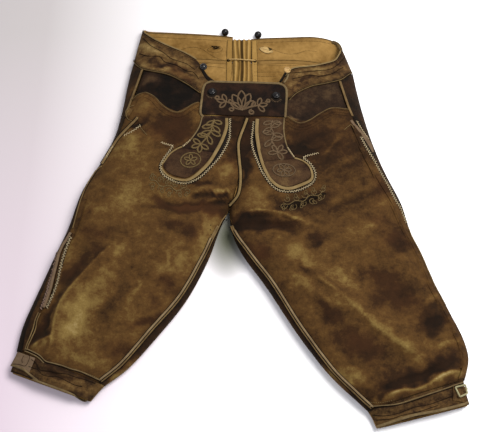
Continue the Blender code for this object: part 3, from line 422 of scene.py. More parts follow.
class Ground:
    """What is finished so far, for laying the next piece on it."""

    def __init__(self):
        self.points, self.faces, self.made = [], [], None

    def add(self, piece):
        start = len(self.points)
        self.points += [vertex.co.copy() for vertex in piece.data.vertices]
        self.faces += [[start + i for i in face.vertices] for face in piece.data.polygons]
        self.made = None

    @property
    def tree(self):
        if self.made is None:
            self.made = BVHTree.FromPolygons(self.points, self.faces)
        return self.made

    def drop(self, x, y):
        """Where a plumb line at a place of the plan first meets the ground, and its slope there."""
        place, normal, _, _ = self.tree.ray_cast(to_part(x, y, OVERHEAD), DOWN)
        if place is None:
            return to_part(x, y), UP
        return place, normal if normal.z > 0 else -normal

    def level(self, x, y, reach):
        """The ground's greatest height in metres over a reach round a place of the plan."""
        spots = ((0, 0), (reach, 0), (-reach, 0), (0, reach), (0, -reach))
        return max(self.drop(x + dx, y + dy)[0].z for dx, dy in spots)

    def lay(self, x, y, lift, reach=0.8):
        """A point lying on the ground at a place of the plan."""
        place, normal = self.drop(x, y)
        for dx, dy in ((reach, 0), (-reach, 0), (0, reach), (0, -reach)):
            normal = normal + self.drop(x + dx, y + dy)[1]
        normal.normalize()
        return place + normal * lift * MM


ground = Ground()


# ---------------------------------------------------------------- finishes

class Value:
    """A shader socket that sums, products and mixes can be written with."""

    def __init__(self, tree, socket):
        self.tree, self.socket = tree, socket

    def maths(self, operation, *others, first=None):
        node = self.tree.nodes.new("ShaderNodeMath")
        node.operation = operation
        for place, value in zip(node.inputs, [self if first is None else first, *others]):
            feed(self.tree, place, value)
        return Value(self.tree, node.outputs[0])

    def __add__(self, other):
        return self.maths("ADD", other)

    def __mul__(self, other):
        return self.maths("MULTIPLY", other)

    def __sub__(self, other):
        return self.maths("SUBTRACT", other)

    def __rsub__(self, other):
        return self.maths("SUBTRACT", self, first=other)

    def __truediv__(self, other):
        return self.maths("DIVIDE", other)

    def __rtruediv__(self, other):
        return self.maths("DIVIDE", self, first=other)

    __radd__, __rmul__ = __add__, __mul__

    def clamped(self):
        """Held between 0 and 1."""
        held = self + 0
        held.socket.node.use_clamp = True
        return held


def feed(tree, place, value):
    if isinstance(value, Value):
        tree.links.new(value.socket, place)
    else:
        place.default_value = value


class Finish:
    """A material being made, ending in one Principled shader."""

    def __init__(self, name, roughness, **constants):
        self.material = bpy.data.materials.new(name)
        self.material.use_nodes = True
        self.tree = self.material.node_tree
        self.shader = self.tree.nodes["Principled BSDF"]
        self.set("Roughness", roughness)
        for socket, value in constants.items():
            self.set(socket.replace("_", " "), value)

    def set(self, socket, value):
        feed(self.tree, self.shader.inputs[socket], value)

    def node(self, kind, inputs=(), out=0, **settings):
        """A node of a kind, its settings first, then the values or links of its sockets."""
        node = self.tree.nodes.new("ShaderNode" + kind)
        for name, value in settings.items():
            if name == "stops":
                ramp = node.color_ramp
                while len(ramp.elements) < len(value):
                    ramp.elements.new(0.5)
                for element, (position, colour) in zip(ramp.elements, value):
                    element.position, element.color = position, (*colour, 1)
            else:
                setattr(node, name, value)
        for name, value in dict(inputs).items():
            feed(self.tree, node.inputs[name], value)
        return Value(self.tree, node.outputs[out])

    def place(self, scale, turn):
        """Where on the object, in metres, stretched and turned."""
        spot = self.node("TexCoord", out="Object")
        return self.node("Mapping", {"Vector": spot, "Scale": scale, "Rotation": turn})

    def noise(self, scale, detail=3.0, rough=0.55, stretch=(1, 1, 1), turn=(0, 0, 0)):
        return self.node("TexNoise", {"Vector": self.place(stretch, turn), "Scale": scale, "Detail": detail,
                                      "Roughness": rough}, out="Fac")

    def value(self, name):
        return self.node("Attribute", out="Fac", attribute_name=name)

    def mix(self, amount, a, b):
        """Colours a and b mixed, by sockets that both kinds of Mix use."""
        node = self.tree.nodes.new("ShaderNodeMix")
        node.data_type = "RGBA"
        feed(self.tree, node.inputs["Factor"], amount)
        for place, value in ((node.inputs[6], a), (node.inputs[7], b)):
            feed(self.tree, place, value if isinstance(value, Value) else (*value, 1))
        return Value(self.tree, node.outputs[2])

    def ramp(self, amount, *stops):
        return self.node("ValToRGB", {"Fac": amount}, out="Color", stops=stops)

    def bump(self, *layers):
        """Layers of (height, depth in metres), the coarsest first."""
        below = {}
        for height, depth in layers:
            inputs = {"Height": height, "Distance": depth, "Strength": 1.0, **below}
            below = {"Normal": self.node("Bump", inputs)}
        self.set("Normal", below["Normal"])


def srgb(red, green, blue):
    """Display values from 0 to 255 as the shader's linear ones."""
    shares = (value / 255 for value in (red, green, blue))
    return tuple(share / 12.92 if share < 0.0405 else ((share + 0.055) / 1.055) ** 2.4 for share in shares)


def suede(name, colours, contrast=1.0, warm_colour=(62, 36, 16)):
    """Worn nap leather: its tone comes from the piece, clouded by handling, with a fine rubbed nap."""
    made = Finish(name, 0.92, Sheen_Weight=0.05, Sheen_Roughness=0.5, Specular_IOR_Level=0.1)
    made.set("Sheen Tint", (*srgb(150, 128, 84), 1))
    clouds = made.noise(13, 3, 0.55) - 0.5
    streaks = made.noise(40, 4, 0.6, (1, 1.5, 1), (0, 0, 0.7)) - 0.5
    flecks = made.noise(130, 4, 0.7) - 0.5
    nap = made.noise(480, 3, 0.6) - 0.5
    tone = made.value("tone") + (clouds * 0.5 + streaks * 0.42 + flecks * 0.4 + nap * 0.24) * contrast
    count = len(colours) - 1
    colour = made.ramp(tone, *[(i / count, srgb(*c)) for i, c in enumerate(colours)])
    warmth = (made.value("warm") * 0.8 + made.noise(26, 3, 0.6) * 0.9 - 0.42).clamped()
    greener = (made.noise(17, 3, 0.6) * 3.0 - 1.4).clamped()
    green = made.node("HueSaturation", {"Color": colour, "Hue": 0.525}, out="Color")
    shifted = made.mix(greener * 0.08, colour, green)
    shifted = made.mix(warmth * 0.6, shifted, srgb(*warm_colour))
    raw = made.mix((clouds * 2.2 + flecks + 0.45).clamped(), srgb(90, 65, 28), srgb(141, 110, 61))
    made.set("Base Color", made.mix(made.value("lining"), shifted, raw))
    made.bump((clouds + streaks, 0.0016), (flecks, 0.0005), (nap, 0.00025))
    return made.material


LEG = suede("leg_suede", ((13, 7, 3), (37, 22, 8), (70, 48, 21), (103, 84, 44), (138, 120, 80)))
BAND = suede("band_suede", ((13, 8, 4), (36, 23, 11), (74, 54, 28), (106, 86, 50), (148, 126, 86)), 1.5)
BIB = suede("bib_suede", ((12, 7, 5), (32, 19, 12), (58, 41, 25), (94, 74, 43), (136, 116, 74)))
POCKET = suede("pocket_suede", ((4, 3, 2), (12, 7, 4), (32, 21, 13), (60, 45, 28), (90, 70, 46)), 1.1)
INSIDE = suede("inside_leather", ((50, 35, 12), (90, 67, 28), (122, 94, 48), (150, 121, 70), (182, 155, 106)),
               0.45, (104, 66, 20))


def smooth_leather(name, colour, dark, roughness, mottle):
    made = Finish(name, roughness, Specular_IOR_Level=0.15)
    cloud = made.noise(mottle, 5, 0.7)
    fine = made.noise(500, 2, 0.5)
    made.set("Base Color", made.mix((cloud * 1.6 - 0.35).clamped(), srgb(*dark), srgb(*colour)))
    made.bump((cloud, 0.0006), (fine, 0.0002))
    return made.material


PIPING = smooth_leather("piping_leather", (118, 100, 66), (86, 68, 37), 0.85, 45)
BINDING = smooth_leather("binding_leather", (108, 92, 62), (62, 48, 28), 0.9, 90)
EDGE = smooth_leather("cut_edge", (92, 75, 44), (46, 32, 16), 0.9, 90)
WELT = smooth_leather("welt_leather", (112, 92, 58), (56, 40, 20), 0.9, 50)
INSEAM_BAND = smooth_leather("inseam_leather", (124, 106, 78), (78, 62, 41), 0.9, 50)
TAN = smooth_leather("tan_leather", (102, 84, 64), (70, 55, 40), 0.9, 140)
FRAME = smooth_leather("buckle_frame", (150, 146, 112), (96, 88, 60), 0.6, 120)
SEAM = smooth_leather("inside_seam", (122, 94, 50), (90, 66, 30), 0.9, 60)
# SHADE is near-black leather: painted shade in the tabs' gaps, under the zigzags and round the bib's buttons,
# and the dark of the crotch's holes and a filler at the left waist corner
SHADE = smooth_leather("dark_edge_and_painted_shade", (25, 17, 10), (12, 8, 5), 0.95, 60)
LACE = smooth_leather("lace_leather", (178, 152, 102), (124, 96, 54), 0.85, 200)


def thread(name, colour, dark):
    made = Finish(name, 0.95, Specular_IOR_Level=0.06)
    made.set("Base Color", made.mix(made.noise(260, 4, 0.7), srgb(*dark), srgb(*colour)))
    made.bump((made.noise(1500, 2, 0.5), 0.0003))
    return made.material


CREAM = thread("cream_thread", (204, 188, 152), (132, 112, 78))
OLIVE = thread("olive_thread", (113, 95, 62), (67, 53, 32))
MAUVE = thread("mauve_thread", (158, 130, 114), (100, 78, 64))
TAUPE = thread("taupe_thread", (106, 88, 66), (61, 46, 32))
BLACK = thread("black_thread", (11, 8, 6), (4, 3, 2))
# Used only as painted shade: in the cuffs' creases and under the left scrolls
SHADE_THREAD = thread("painted_shade_thread", (27, 18, 10), (12, 8, 5))
BROWN = thread("brown_thread", (44, 29, 15), (20, 12, 6))


def horn(name, colour, dark, roughness):
    made = Finish(name, roughness, Coat_Weight=0.12, Coat_Roughness=0.15, Specular_IOR_Level=0.2)
    bands = made.noise(130, 4, 0.6, (1, 3, 1))
    made.set("Base Color", made.mix((bands * 1.8 - 0.5).clamped(), srgb(*dark), srgb(*colour)))
    made.bump((made.noise(400, 3, 0.6), 0.00015))
    return made.material


HORN = horn("black_horn", (16, 13, 12), (4, 3, 3), 0.28)
PALE_HORN = horn("pale_horn", (176, 148, 96), (118, 86, 46), 0.4)

# ---------------------------------------------------------------- leather pieces

# Each piece is a copy of its solid, finer and creased: what it is cut from, its own tone, how often its mesh is
# divided and how sharp its edges stay
Cloth = namedtuple("Cloth", "node finish slot tone levels rim")


def cut_list(*rows):
    """Pieces to cut. A row with two tones is for a right and a left piece."""
    cloths = []
    for node, finish, slot, levels, tones, rims in rows:
        names = (node,) if len(tones) == 1 else (node + "_r", node + "_l")
        cloths += [Cloth(name, finish, slot, tone, levels, rim) for name, tone, rim in zip(names, tones, rims)]
    return cloths


PANELS = cut_list(
    ("waistband_back", INSIDE, "inside_leather", 2, (0.42, 0.52), (1.0, 1.0)),
    ("back_leg", LEG, "leg_leather", 2, (0.34, 0.34), (1.0, 1.0)),
    ("pocket_bearer", POCKET, "pocket_leather", 2, (0.15, 0.52), (0.8, 0.8)),
    ("waistband_front", BAND, "band_leather", 3, (0.45, 0.40), (0.8, 0.8)),
    ("cuff", BAND, "band_leather", 3, (0.36, 0.40), (0.8, 0.8)),
    ("front_leg", LEG, "leg_leather", 3, (0.45, 0.40), (0.8, 1.0)),
)
STRIPS = cut_list(
    ("side_band", LEG, "leg_leather", 2, (0.36, 0.40), (0.5, 1.0)),
    ("inseam_welt", WELT, "piping_leather", 2, (0.5, 0.5), (0.5, 0.5)),
    ("side_piping", WELT, "piping_leather", 2, (0.5, 0.5), (0.5, 0.5)),
)
SEWN = cut_list(
    ("knife_pocket_tab", BAND, "band_leather", 2, (0.5,), (0.5,)),
    ("bib", BIB, "bib_leather", 3, (0.06,), (0.5,)),
    ("tab_upper", BIB, "bib_leather", 2, (0.2, 0.48), (0.5, 0.5)),
    ("tab_end", BIB, "bib_leather", 2, (0.38, 0.60), (0.5, 0.5)),
    ("cuff_strap_r", TAN, "band_leather", 2, (0.5,), (0.5,)),
    ("cuff_loop_l", BAND, "band_leather", 2, (0.5,), (0.5,)),
    ("lace_facing", INSIDE, "inside_leather", 2, (0.55, 0.62), (0.5, 0.5)),
    ("leaf_patch", LACE, "lace_leather", 2, (0.6,), (0.5,)),
)
SEW_LIFT = 0.45          # between a sewn piece and the leather under it
SEW_REACH = 1.2          # a sewn piece clears whatever lies this near each of its points
SKIN_DEPTH = 0.3         # its underside is looked for from this far under its upper side
MOST_DROP = -2.5         # a piece's free end stays where it is rather than sinking further than this
EVEN_ROUNDS = 10

pieces = {}


def stand_for(piece, node):
    """A finished piece takes its solid's place and is part of the ground for the next."""
    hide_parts(node)
    pieces[node] = piece
    ground.add(piece)


def finish_piece(cloth, mesh, prefix):
    stand_for(link(prefix + cloth.node, mesh, cloth.finish), cloth.node)


def fold(mesh):
    spots = points_of(mesh)
    spots[:, 2] += fold_shift(spots[:, :2], spots[:, 2])
    move_points(mesh, spots)


# Painted shade on the back panels' rolled-up sides: how much darker, and the height in millimetres over the
# table where it is full
SIDE_SHADE, SHADED_FROM = 0.2, 8


def shade_sides(mesh):
    """The back panels are painted nearly black where they roll up to the seams: painted shade on their sides.
    """
    height = points_of(mesh)[:, 2]
    side_shade = np.clip(facing_up(mesh) * 2 + 0.9, 0, 1) * np.clip(height / SHADED_FROM, 0, 1)
    add_value(mesh, "tone", value_of(mesh, "tone") - SIDE_SHADE * side_shade)


def cut_panel(cloth, prefix, lined):
    """A panel, or a strip that follows a seam and is folded with the panels beside it."""
    mesh = smooth_copy(cloth.node, cloth.levels, cloth.rim)
    fold(mesh)
    paint(mesh, cloth.tone, lined)
    if cloth.node.startswith("back_leg"):
        shade_sides(mesh)
    finish_piece(cloth, mesh, prefix)


def evened(mesh, values, known, rounds):
    """Values evened out over a mesh, starting from the points where they are known."""
    a, b = np.array([edge.vertices[:] for edge in mesh.edges]).T
    values = np.where(known, values, values[known].mean())
    weight = np.where(known, 1.0, 0.02)
    for _ in range(rounds):
        total, sums = values * weight, weight.copy()
        shares = total.copy()
        for here, there in ((a, b), (b, a)):
            np.add.at(total, here, shares[there])
            np.add.at(sums, here, weight[there])
        values = total / sums
    return values


def lay_on(cloth):
    """A sewn-on piece, lowered or lifted smoothly onto the finished leather below it."""
    mesh = smooth_copy(cloth.node, cloth.levels, cloth.rim)
    spots, skin = points_of(mesh), value_of(mesh, "skin")
    own = BVHTree.FromPolygons([v.co for v in mesh.vertices], [face.vertices[:] for face in mesh.polygons])
    shift, known = np.zeros(len(spots)), np.zeros(len(spots), bool)
    for k, (x, y, z) in enumerate(spots):
        below = z if skin[k] < 0.02 else None
        if skin[k] > 0.98:
            hit = own.ray_cast(to_part(x, y, z - SKIN_DEPTH), DOWN)[0]
            below = None if hit is None else hit.z / MM
        if below is not None:
            shift[k] = ground.level(x, y, SEW_REACH) / MM + SEW_LIFT - below
            known[k] = shift[k] > MOST_DROP
    spots[:, 2] += evened(mesh, shift, known, EVEN_ROUNDS)
    move_points(mesh, spots)
    paint(mesh, cloth.tone)
    finish_piece(cloth, mesh, "sewn_")


for cloth in PANELS:
    cut_panel(cloth, "leather_", 1.0)
for cloth in STRIPS:
    cut_panel(cloth, "sewn_", 0.0)
for cloth in SEWN:
    lay_on(cloth)

# ---------------------------------------------------------------- cords and threads


def mesh_of(curve):
    """A closed mesh of a bevelled curve."""
    mesh = settled(put(bpy.data.objects.new(curve.name, curve)))
    work = bmesh.new()
    work.from_mesh(mesh)
    bmesh.ops.remove_doubles(work, verts=work.verts, dist=1e-7)
    bmesh.ops.recalc_face_normals(work, faces=work.faces)
    return shape_of(work, mesh)


def line_curve(name, runs, shares=None):
    """A curve of straight pieces through runs of points, each as thick as its share."""
    curve = bpy.data.curves.new(name, "CURVE")
    curve.dimensions = "3D"
    curve.use_fill_caps = True
    for k, run in enumerate(runs):
        line = curve.splines.new("POLY")
        line.points.add(len(run) - 1)
        widths = shares[k] if shares else [1.0] * len(run)
        for spot, place, width in zip(line.points, run, widths):
            spot.co = (*place, 1)
            spot.radius = width
    return curve


def tubes(name, runs, radius, finish, sides=0):
    """Threads through runs of points, as one mesh."""
    curve = line_curve(name, runs)
    curve.bevel_depth = radius * MM
    curve.bevel_resolution = sides
    return link(name, mesh_of(curve), finish)


CORD_SIDES = 12


def flat_cords(name, runs, width, height, finish, shares=None):
    """Strips with a rounded section, such as piping, lying on their broad side."""
    section = bpy.data.curves.new(name + "_section", "CURVE")
    line = section.splines.new("POLY")
    line.use_cyclic_u = True
    line.points.add(CORD_SIDES - 1)
    for k, spot in enumerate(line.points):
        angle = 2 * math.pi * k / CORD_SIDES
        spot.co = (0.5 * width * MM * math.cos(angle), 0.5 * height * MM * math.sin(angle), 0, 1)
    outline = put(bpy.data.objects.new(name + "_section", section))
    curve = line_curve(name, runs, shares)
    curve.twist_mode = "Z_UP"
    curve.bevel_mode = "OBJECT"
    curve.bevel_object = outline
    mesh = mesh_of(curve)
    bpy.data.objects.remove(outline)
    return link(name, mesh, finish)


def turned(name, profile, seat, axis, finish, sides=40):
    """A round piece: radii and heights in millimetres, turned about an axis through its seat."""
    work = bmesh.new()
    points = [work.verts.new((radius, 0, height)) for radius, height in smooth_path(profile, 0.4)]
    edges = [work.edges.new(pair) for pair in zip(points, points[1:])]
    bmesh.ops.spin(work, geom=points + edges, cent=(0, 0, 0), axis=(0, 0, 1), angle=2 * math.pi, steps=sides,
                   use_merge=True)
    bmesh.ops.remove_doubles(work, verts=work.verts, dist=1e-3)
    bmesh.ops.recalc_face_normals(work, faces=work.faces)
    bmesh.ops.scale(work, vec=(MM, MM, MM), verts=work.verts)
    turn = UP.rotation_difference(axis).to_matrix()
    bmesh.ops.rotate(work, cent=(0, 0, 0), matrix=turn, verts=work.verts)
    bmesh.ops.translate(work, vec=seat, verts=work.verts)
    return link(name, shape_of(work, bpy.data.meshes.new(name)), finish)


def sides_of(path):
    """Unit vectors to the left of a path on the plan, one for each point."""
    ahead = np.gradient(path, axis=0)
    ahead /= np.linalg.norm(ahead, axis=1)[:, None] + 1e-9
    return np.stack([-ahead[:, 1], ahead[:, 0]], 1)


def spaced(path, pitch):
    """Points an even pitch apart along a path."""
    lengths = np.concatenate([[0], np.cumsum(np.linalg.norm(np.diff(path, axis=0), axis=1))])
    count = max(2, round(lengths[-1] / pitch) + 1)
    wanted = np.linspace(0, lengths[-1], count)
    return np.stack([np.interp(wanted, lengths, path[:, k]) for k in (0, 1)], 1)


def beside(path, distance):
    """A smooth path moved to its left."""
    path = spaced(smooth_path(path, 3), 2)
    return path + sides_of(path) * distance


CORD_STEP = 2.0          # how far apart a cord's places are, in millimetres


def flat_run(points, heights):
    """Places along a path of the plan, their heights in millimetres going evenly from the first to the last."""
    path = spaced(smooth_path(points, CORD_STEP), CORD_STEP)
    return [to_part(x, y, z) for (x, y), z in zip(path, np.linspace(*heights, len(path)))]


LOWEST = 1.0             # a cord's middle stays at least this high over the table


def cord_run(points, lift, step=CORD_STEP, reach=1.5):
    """Places for a cord that lies on the ground along the points, its heights evened out."""
    path = spaced(smooth_path(points, step), step)
    height = np.array([ground.level(x, y, reach) for x, y in path])
    for _ in range(3):
        padded = np.concatenate([height[:1], height, height[-1:]])
        height = 0.25 * padded[:-2] + 0.5 * height + 0.25 * padded[2:]
    return [to_part(x, y, max(z / MM + lift, LOWEST)) for (x, y), z in zip(path, height)]


def cord_runs(paths, lift, step=CORD_STEP):
    return [cord_run(path, lift, step) for path in paths]


ENTRY = 0.3              # how much lower a stitch's ends lie than it does


def stitch_over(start, middle, end, lift, rise):
    """One short thread, which enters the leather at both ends."""
    low = lift - ENTRY
    return [ground.lay(*start, low), ground.lay(*middle, lift + rise), ground.lay(*end, low)]


def dashes(points, stitch, gap, lift):
    """Running stitches: one short thread after another."""
    path = spaced(smooth_path(points, 3), stitch + gap)
    runs = []
    for a, b in zip(path, path[1:]):
        end = a + (b - a) / np.linalg.norm(b - a) * stitch
        middle = (a + end) / 2
        runs.append(stitch_over(a, middle, end, lift, 0.1))
    return runs


def stitch_rows(paths, stitch, gap, lift):
    return [run for path in paths for run in dashes(path, stitch, gap, lift)]


def zigzag(points, width, pitch, lift):
    """One thread going from side to side, low where it enters the leather."""
    path = spaced(smooth_path(points, 3), pitch)
    sides = sides_of(path)
    run = []
    for k, (place, side) in enumerate(zip(path, sides)):
        reach = width * (0.5 if k % 2 else -0.5) * (1 + 0.15 * math.sin(k * 1.7))
        run.append(ground.lay(*(place + side * reach), lift - 0.15))
        if k + 1 < len(path):
            run.append(ground.lay(*((place + path[k + 1]) / 2), lift + 0.25))
    return run


def satin(points, width, pitch, lift, pad, closed=False, spindle=False):
    """Close slanting threads across a line, arched over its padding. A spindle is widest in the middle."""
    if closed:
        points = list(points) + [points[0]]
    path = spaced(smooth_path(points, 1.5), pitch)
    runs = []
    for k, (place, side) in enumerate(zip(path, sides_of(path))):
        middle = math.sin(math.pi * k / len(path))
        swell = width * (0.5 * middle**0.6 if spindle else 0.44 + 0.08 * middle + 0.06 * math.sin(k * 2.1))
        slant = np.array((side[1], -side[0])) * swell * 0.6
        reach = side * swell + slant
        runs.append(stitch_over(place - reach, place, place + reach, lift, pad))
    return runs


# ---------------------------------------------------------------- piping, bindings and seams

# Lines on the plan: the pieces' edges, seams, piping, threads and waves
FRONT_TOP_R = ((-191, 417), (-185, 407), (-161, 384), (-111, 356), (-84, 338))
FRONT_TOP_L = ((84, 296), (99, 315), (126, 320), (153, 325), (180, 336), (191, 354), (196, 368))
FRONT_SEAM_R = ((-209, 352), (-201, 334), (-181, 315), (-133, 300), (-102, 281), (-76, 261))
FRONT_SEAM_L = ((92, 244), (111, 262), (138, 276), (164, 282), (191, 292), (208, 309), (216, 320))
POCKET_R = (
    (-204, 248), (-194, 260), (-178, 262), (-159, 250), (-146, 234), (-130, 221), (-118, 217), (-106, 220),
    (-91, 232), (-77, 240),
)
POCKET_L = ((88, 207), (109, 193), (129, 199), (149, 214), (170, 225), (195, 225), (203, 224))
BIB_EDGE = (
    (-67, 205), (-72.5, 214), (-72, 232), (-70, 258), (-68, 271), (-64, 279), (-56, 283), (-46, 283.5),
    (10, 281.5), (66, 279), (76, 277.5), (83, 273), (87, 265), (87.5, 252), (86, 230), (84, 204),
)
TAB_ZIG_R = (
    (-121, 145), (-129, 131), (-138, 116), (-142, 102), (-137, 88), (-124, 78), (-112, 73), (-98, 71),
    (-83, 75), (-69, 83), (-54, 99), (-40, 116), (-28, 136), (-19, 160), (-18, 182), (-18, 203),
)
TAB_SPUR_R = ((-143, 153), (-134, 149), (-121, 145))
TAB_ZIG_L = (
    (26, 196), (24, 176), (22, 156), (25, 136), (32, 115), (39, 96), (48, 80), (58, 66), (70, 57), (84, 54),
    (100, 55), (116, 61), (130, 71), (136, 84), (134, 96), (126, 110), (115, 120),
)
TAB_SPUR_L = ((115, 120), (120, 124), (130, 127), (143, 131))
TAB_OUTER_R = ((-69, 206), (-75, 182), (-90, 156), (-103, 142))
TAB_OUTER_L = ((82, 203), (81, 172), (87, 140), (99, 120))
KNIFE_ZIG = ((-183, 191), (-190, 183), (-199, 177), (-213, 171))
KNIFE_ZIG_LOW = ((-233, 152), (-239, 141), (-244, 129))
KNIFE_END = ((-184, 187), (-176, 176), (-169, 167))
KNIFE_LOOP = ((-199, 236), (-207, 233), (-213, 224), (-209, 209), (-200, 201))
SIDE_ZIG_R = (
    ((-316, -54), (-318, -74), (-320, -96), (-323, -114), (-325, -129), (-329, -147), (-332, -160)),
    ((-293, -29), (-297, -42), (-301, -57), (-304, -74), (-307, -93), (-309, -112), (-313, -131),
     (-319, -148), (-323, -157)),
)
SIDE_ZIG_L = (
    ((222, 166), (231, 144), (242, 123), (254, 100), (266, 73), (277, 43), (288, 22), (295, 0)),
    ((217, 202), (222, 191), (230, 179), (238, 168)),
)
SIDE_TAN_L = ((206, 201), (212, 191), (221, 179), (231, 167), (239, 154), (245, 140))
SPUR_L = ((192, 179), (200, 187), (205, 190), (210, 181))
TAB_GAP_R = ((-20.5, 196), (-22.5, 180), (-26, 160), (-34, 138), (-44, 119), (-57, 101), (-71, 87))
TAB_GAP_L = ((28, 196), (26, 178), (27, 156), (29, 136), (35, 113), (42, 94), (51, 77))
CROTCH_R = ((-37, -2), (-32, 10), (-25, 22))

TAB_PIPING_R = (
    (-24, 203), (-24, 183), (-32, 155), (-43, 131), (-54, 111), (-69, 93), (-83, 81), (-97, 76), (-118, 80),
    (-133, 90), (-140.5, 104), (-135, 113), (-126, 127), (-114, 137), (-104, 142),
)
TAB_PIPING_L = (
    (32, 200), (31, 170), (35, 138), (41, 111), (49, 89), (59, 73), (74, 62), (92, 59.5), (112, 67),
    (129, 78), (129, 95), (122, 108), (111, 116), (99, 119),
)
FLY = (
    (14, 203), (8, 184), (2, 166), (-2, 147), (0, 114), (2, 93), (2, 72), (0, 58), (-4, 49), (-11, 42),
    (-18, 37),
)
KNIFE = ((-189, 207), (-204, 190), (-224, 168), (-241, 137), (-251, 117))
BACK_RIM_R = ((-190, 429.2), (-122, 426.5), (-51, 421.5), (-17, 418))
BACK_RIM_L = ((22, 412.5), (47, 415), (103, 417), (145, 418), (173, 413), (185, 406.5))
# With heights: this rim rises from the table to the front waistband
CORNER_RIM_L = (
    (184, 406.5, 4.5), (190.6, 401.9, 6), (194.4, 396.8, 8), (196.4, 391, 10), (197.2, 386, 12.5),
    (197.5, 379, 19), (196.4, 372, 25),
)
BAND_WAVES_R = (
    ((-197, 361), (-178, 349), (-155, 345), (-144, 331), (-122, 324), (-103, 311), (-89, 307), (-78, 291)),
    ((-193, 400), (-173, 373), (-150, 355), (-131, 338), (-103, 327), (-86, 313)),
)
BAND_WAVES_L = (
    ((98, 305), (124, 307), (146, 310), (170, 314), (187, 327), (203, 352)),
    ((98, 291), (111, 294), (132, 299), (151, 297), (175, 304), (198, 323)),
)
SIDE_TAN_R = (
    (-295, -20), (-301, -33), (-308, -46), (-312, -62), (-314, -80), (-317, -100), (-319, -118), (-322, -134),
    (-325, -147), (-328, -157),
)
SIDE_LOW_R = ((-334, -166), (-338, -178), (-340, -192), (-344, -206), (-349, -220), (-351, -228))
SIDE_HIGH_R = ((-250, 112), (-262, 104), (-272, 84), (-280, 60), (-285, 34), (-289, 10), (-292, -12))
SIDE_LOW_L = ((297, 2), (301, -22), (312, -46), (321, -70), (328, -96), (340, -126), (350, -150))
CUFF_SEAM_PATH_R = (
    (-352, -226), (-340, -231), (-327, -238), (-317, -247), (-303, -251), (-288, -255), (-274, -260),
    (-259, -264), (-244, -270), (-225, -278),
)
CUFF_SEAM_PATH_L = ((211, -321), (227, -320), (255, -318), (284, -310), (305, -303), (338, -292), (368, -281))
CUFF_HEM_R = ((-336, -275), (-326, -279), (-306, -286), (-280, -295), (-266, -301), (-254, -306), (-246, -308))
CUFF_HEM_L = (
    (222, -348.5), (235, -345), (257, -338.5), (285, -331), (314, -326), (342, -319.5), (362, -314),
    (373, -310),
)
CUFF_UNDER_R = ((-376, -251), (-368, -253), (-359, -256), (-350, -261), (-338, -270), (-328, -277))
CUFF_FUZZ_R = ((-374, -259), (-366, -263), (-356, -266), (-346, -271), (-338, -275))
CUFF_LINES_R = (
    ((-340, -244), (-332, -250), (-325, -260), (-308, -263), (-296, -266), (-280, -268), (-261, -274),
     (-248, -277), (-233, -282)),
    ((-344, -255), (-329, -260), (-321, -268), (-311, -271), (-295, -272), (-279, -279), (-266, -285),
     (-254, -287)),
)
CUFF_LINES_L = (
    ((216, -332), (236, -334), (258, -330), (284, -321), (310, -316), (346, -303)),
    ((222, -340), (244, -339), (266, -333), (290, -328), (322, -318)),
)
STRAP_SLIT = ((-354, -237), (-357, -243), (-355, -249))
STRAP_EDGE = ((-372, -228), (-356, -232), (-344, -238), (-345, -246), (-350, -254), (-360, -251), (-372, -249))


def widths_along(run, places, shares):
    """A cord's shares of its full width, given at some places along it."""
    return list(np.interp(np.linspace(0, 1, len(run)), places, shares))


# Painted shadow: a near-black strip in the gap on the inner side of each tab, where the tab stands proud of the
# leg
for side, path in (("r", TAB_GAP_R), ("l", TAB_GAP_L)):
    run = cord_run(path, -0.1)
    widths = widths_along(run, (0, 0.4, 0.7, 1), (0.6, 1, 0.8, 0.4))
    ground.add(flat_cords("tab_gap_shadow_" + side, [run], 8.4, 0.7, SHADE, [widths]))

# The piping grows thin between these places along it
for side, path, thinning in (("r", TAB_PIPING_R, (0.5, 0.7)), ("l", TAB_PIPING_L, (0.68, 0.88))):
    run = cord_run(path, 0.6, reach=2.0)
    piping = flat_cords(f"sewn_tab_piping_{side}", [run], 7.4, 2.6, PIPING,
                        [widths_along(run, thinning, (1, 0.42))])
    stand_for(piping, f"tab_piping_{side}")
piping = flat_cords("sewn_fly_piping", [cord_run(FLY, 0.5, reach=2.0)], 5.2, 2.6, PIPING)
stand_for(piping, "fly_piping")
welt = flat_cords("sewn_knife_pocket_welt", [cord_run(KNIFE, 0.3, reach=2.0)], 5.4, 2.2, WELT)
stand_for(welt, "knife_pocket_welt")

binding = flat_cords("bib_binding", [cord_run(BIB_EDGE, 0.5, reach=1.0)], 4.4, 2.2, BINDING)
tab_runs = cord_runs((TAB_OUTER_R, TAB_OUTER_L), 0.4)
tab_edges = flat_cords("tab_edges", tab_runs, 2.6, 1.6, BINDING)
# Both are laid before either becomes ground for what follows
ground.add(binding)
ground.add(tab_edges)

EDGE_PATHS = (FRONT_TOP_R, FRONT_TOP_L, FRONT_SEAM_R, FRONT_SEAM_L, POCKET_R, POCKET_L, BACK_RIM_R, BACK_RIM_L)
flat_cords("cut_edges", cord_runs(EDGE_PATHS, 0.1), 2.0, 1.2, EDGE)
flat_cords("top_edges", cord_runs((FRONT_TOP_R, FRONT_TOP_L), 0.7), 3.0, 1.6, PIPING)
rim = [to_part(*spot) for spot in smooth_path(CORNER_RIM_L, 2)]
flat_cords("corner_rim_l", [rim], 7.4, 2.6, EDGE)
flat_cords("hem_edges", cord_runs((CUFF_HEM_R, CUFF_UNDER_R), 0.1), 3.0, 1.4, BINDING)
flat_cords("hem_edge_l", [cord_run(beside(CUFF_HEM_L, -1.6), 0.3)], 4.4, 1.6, BINDING)
flat_cords("side_tan", [cord_run(SIDE_TAN_R, 0.4, reach=2.0)], 5.0, 1.8, TAN)
run = cord_run(SIDE_TAN_L, 0.3)
widths = widths_along(run, (0, 0.3, 0.6, 0.8, 1), (0.5, 0.5, 1, 0.9, 0.3))
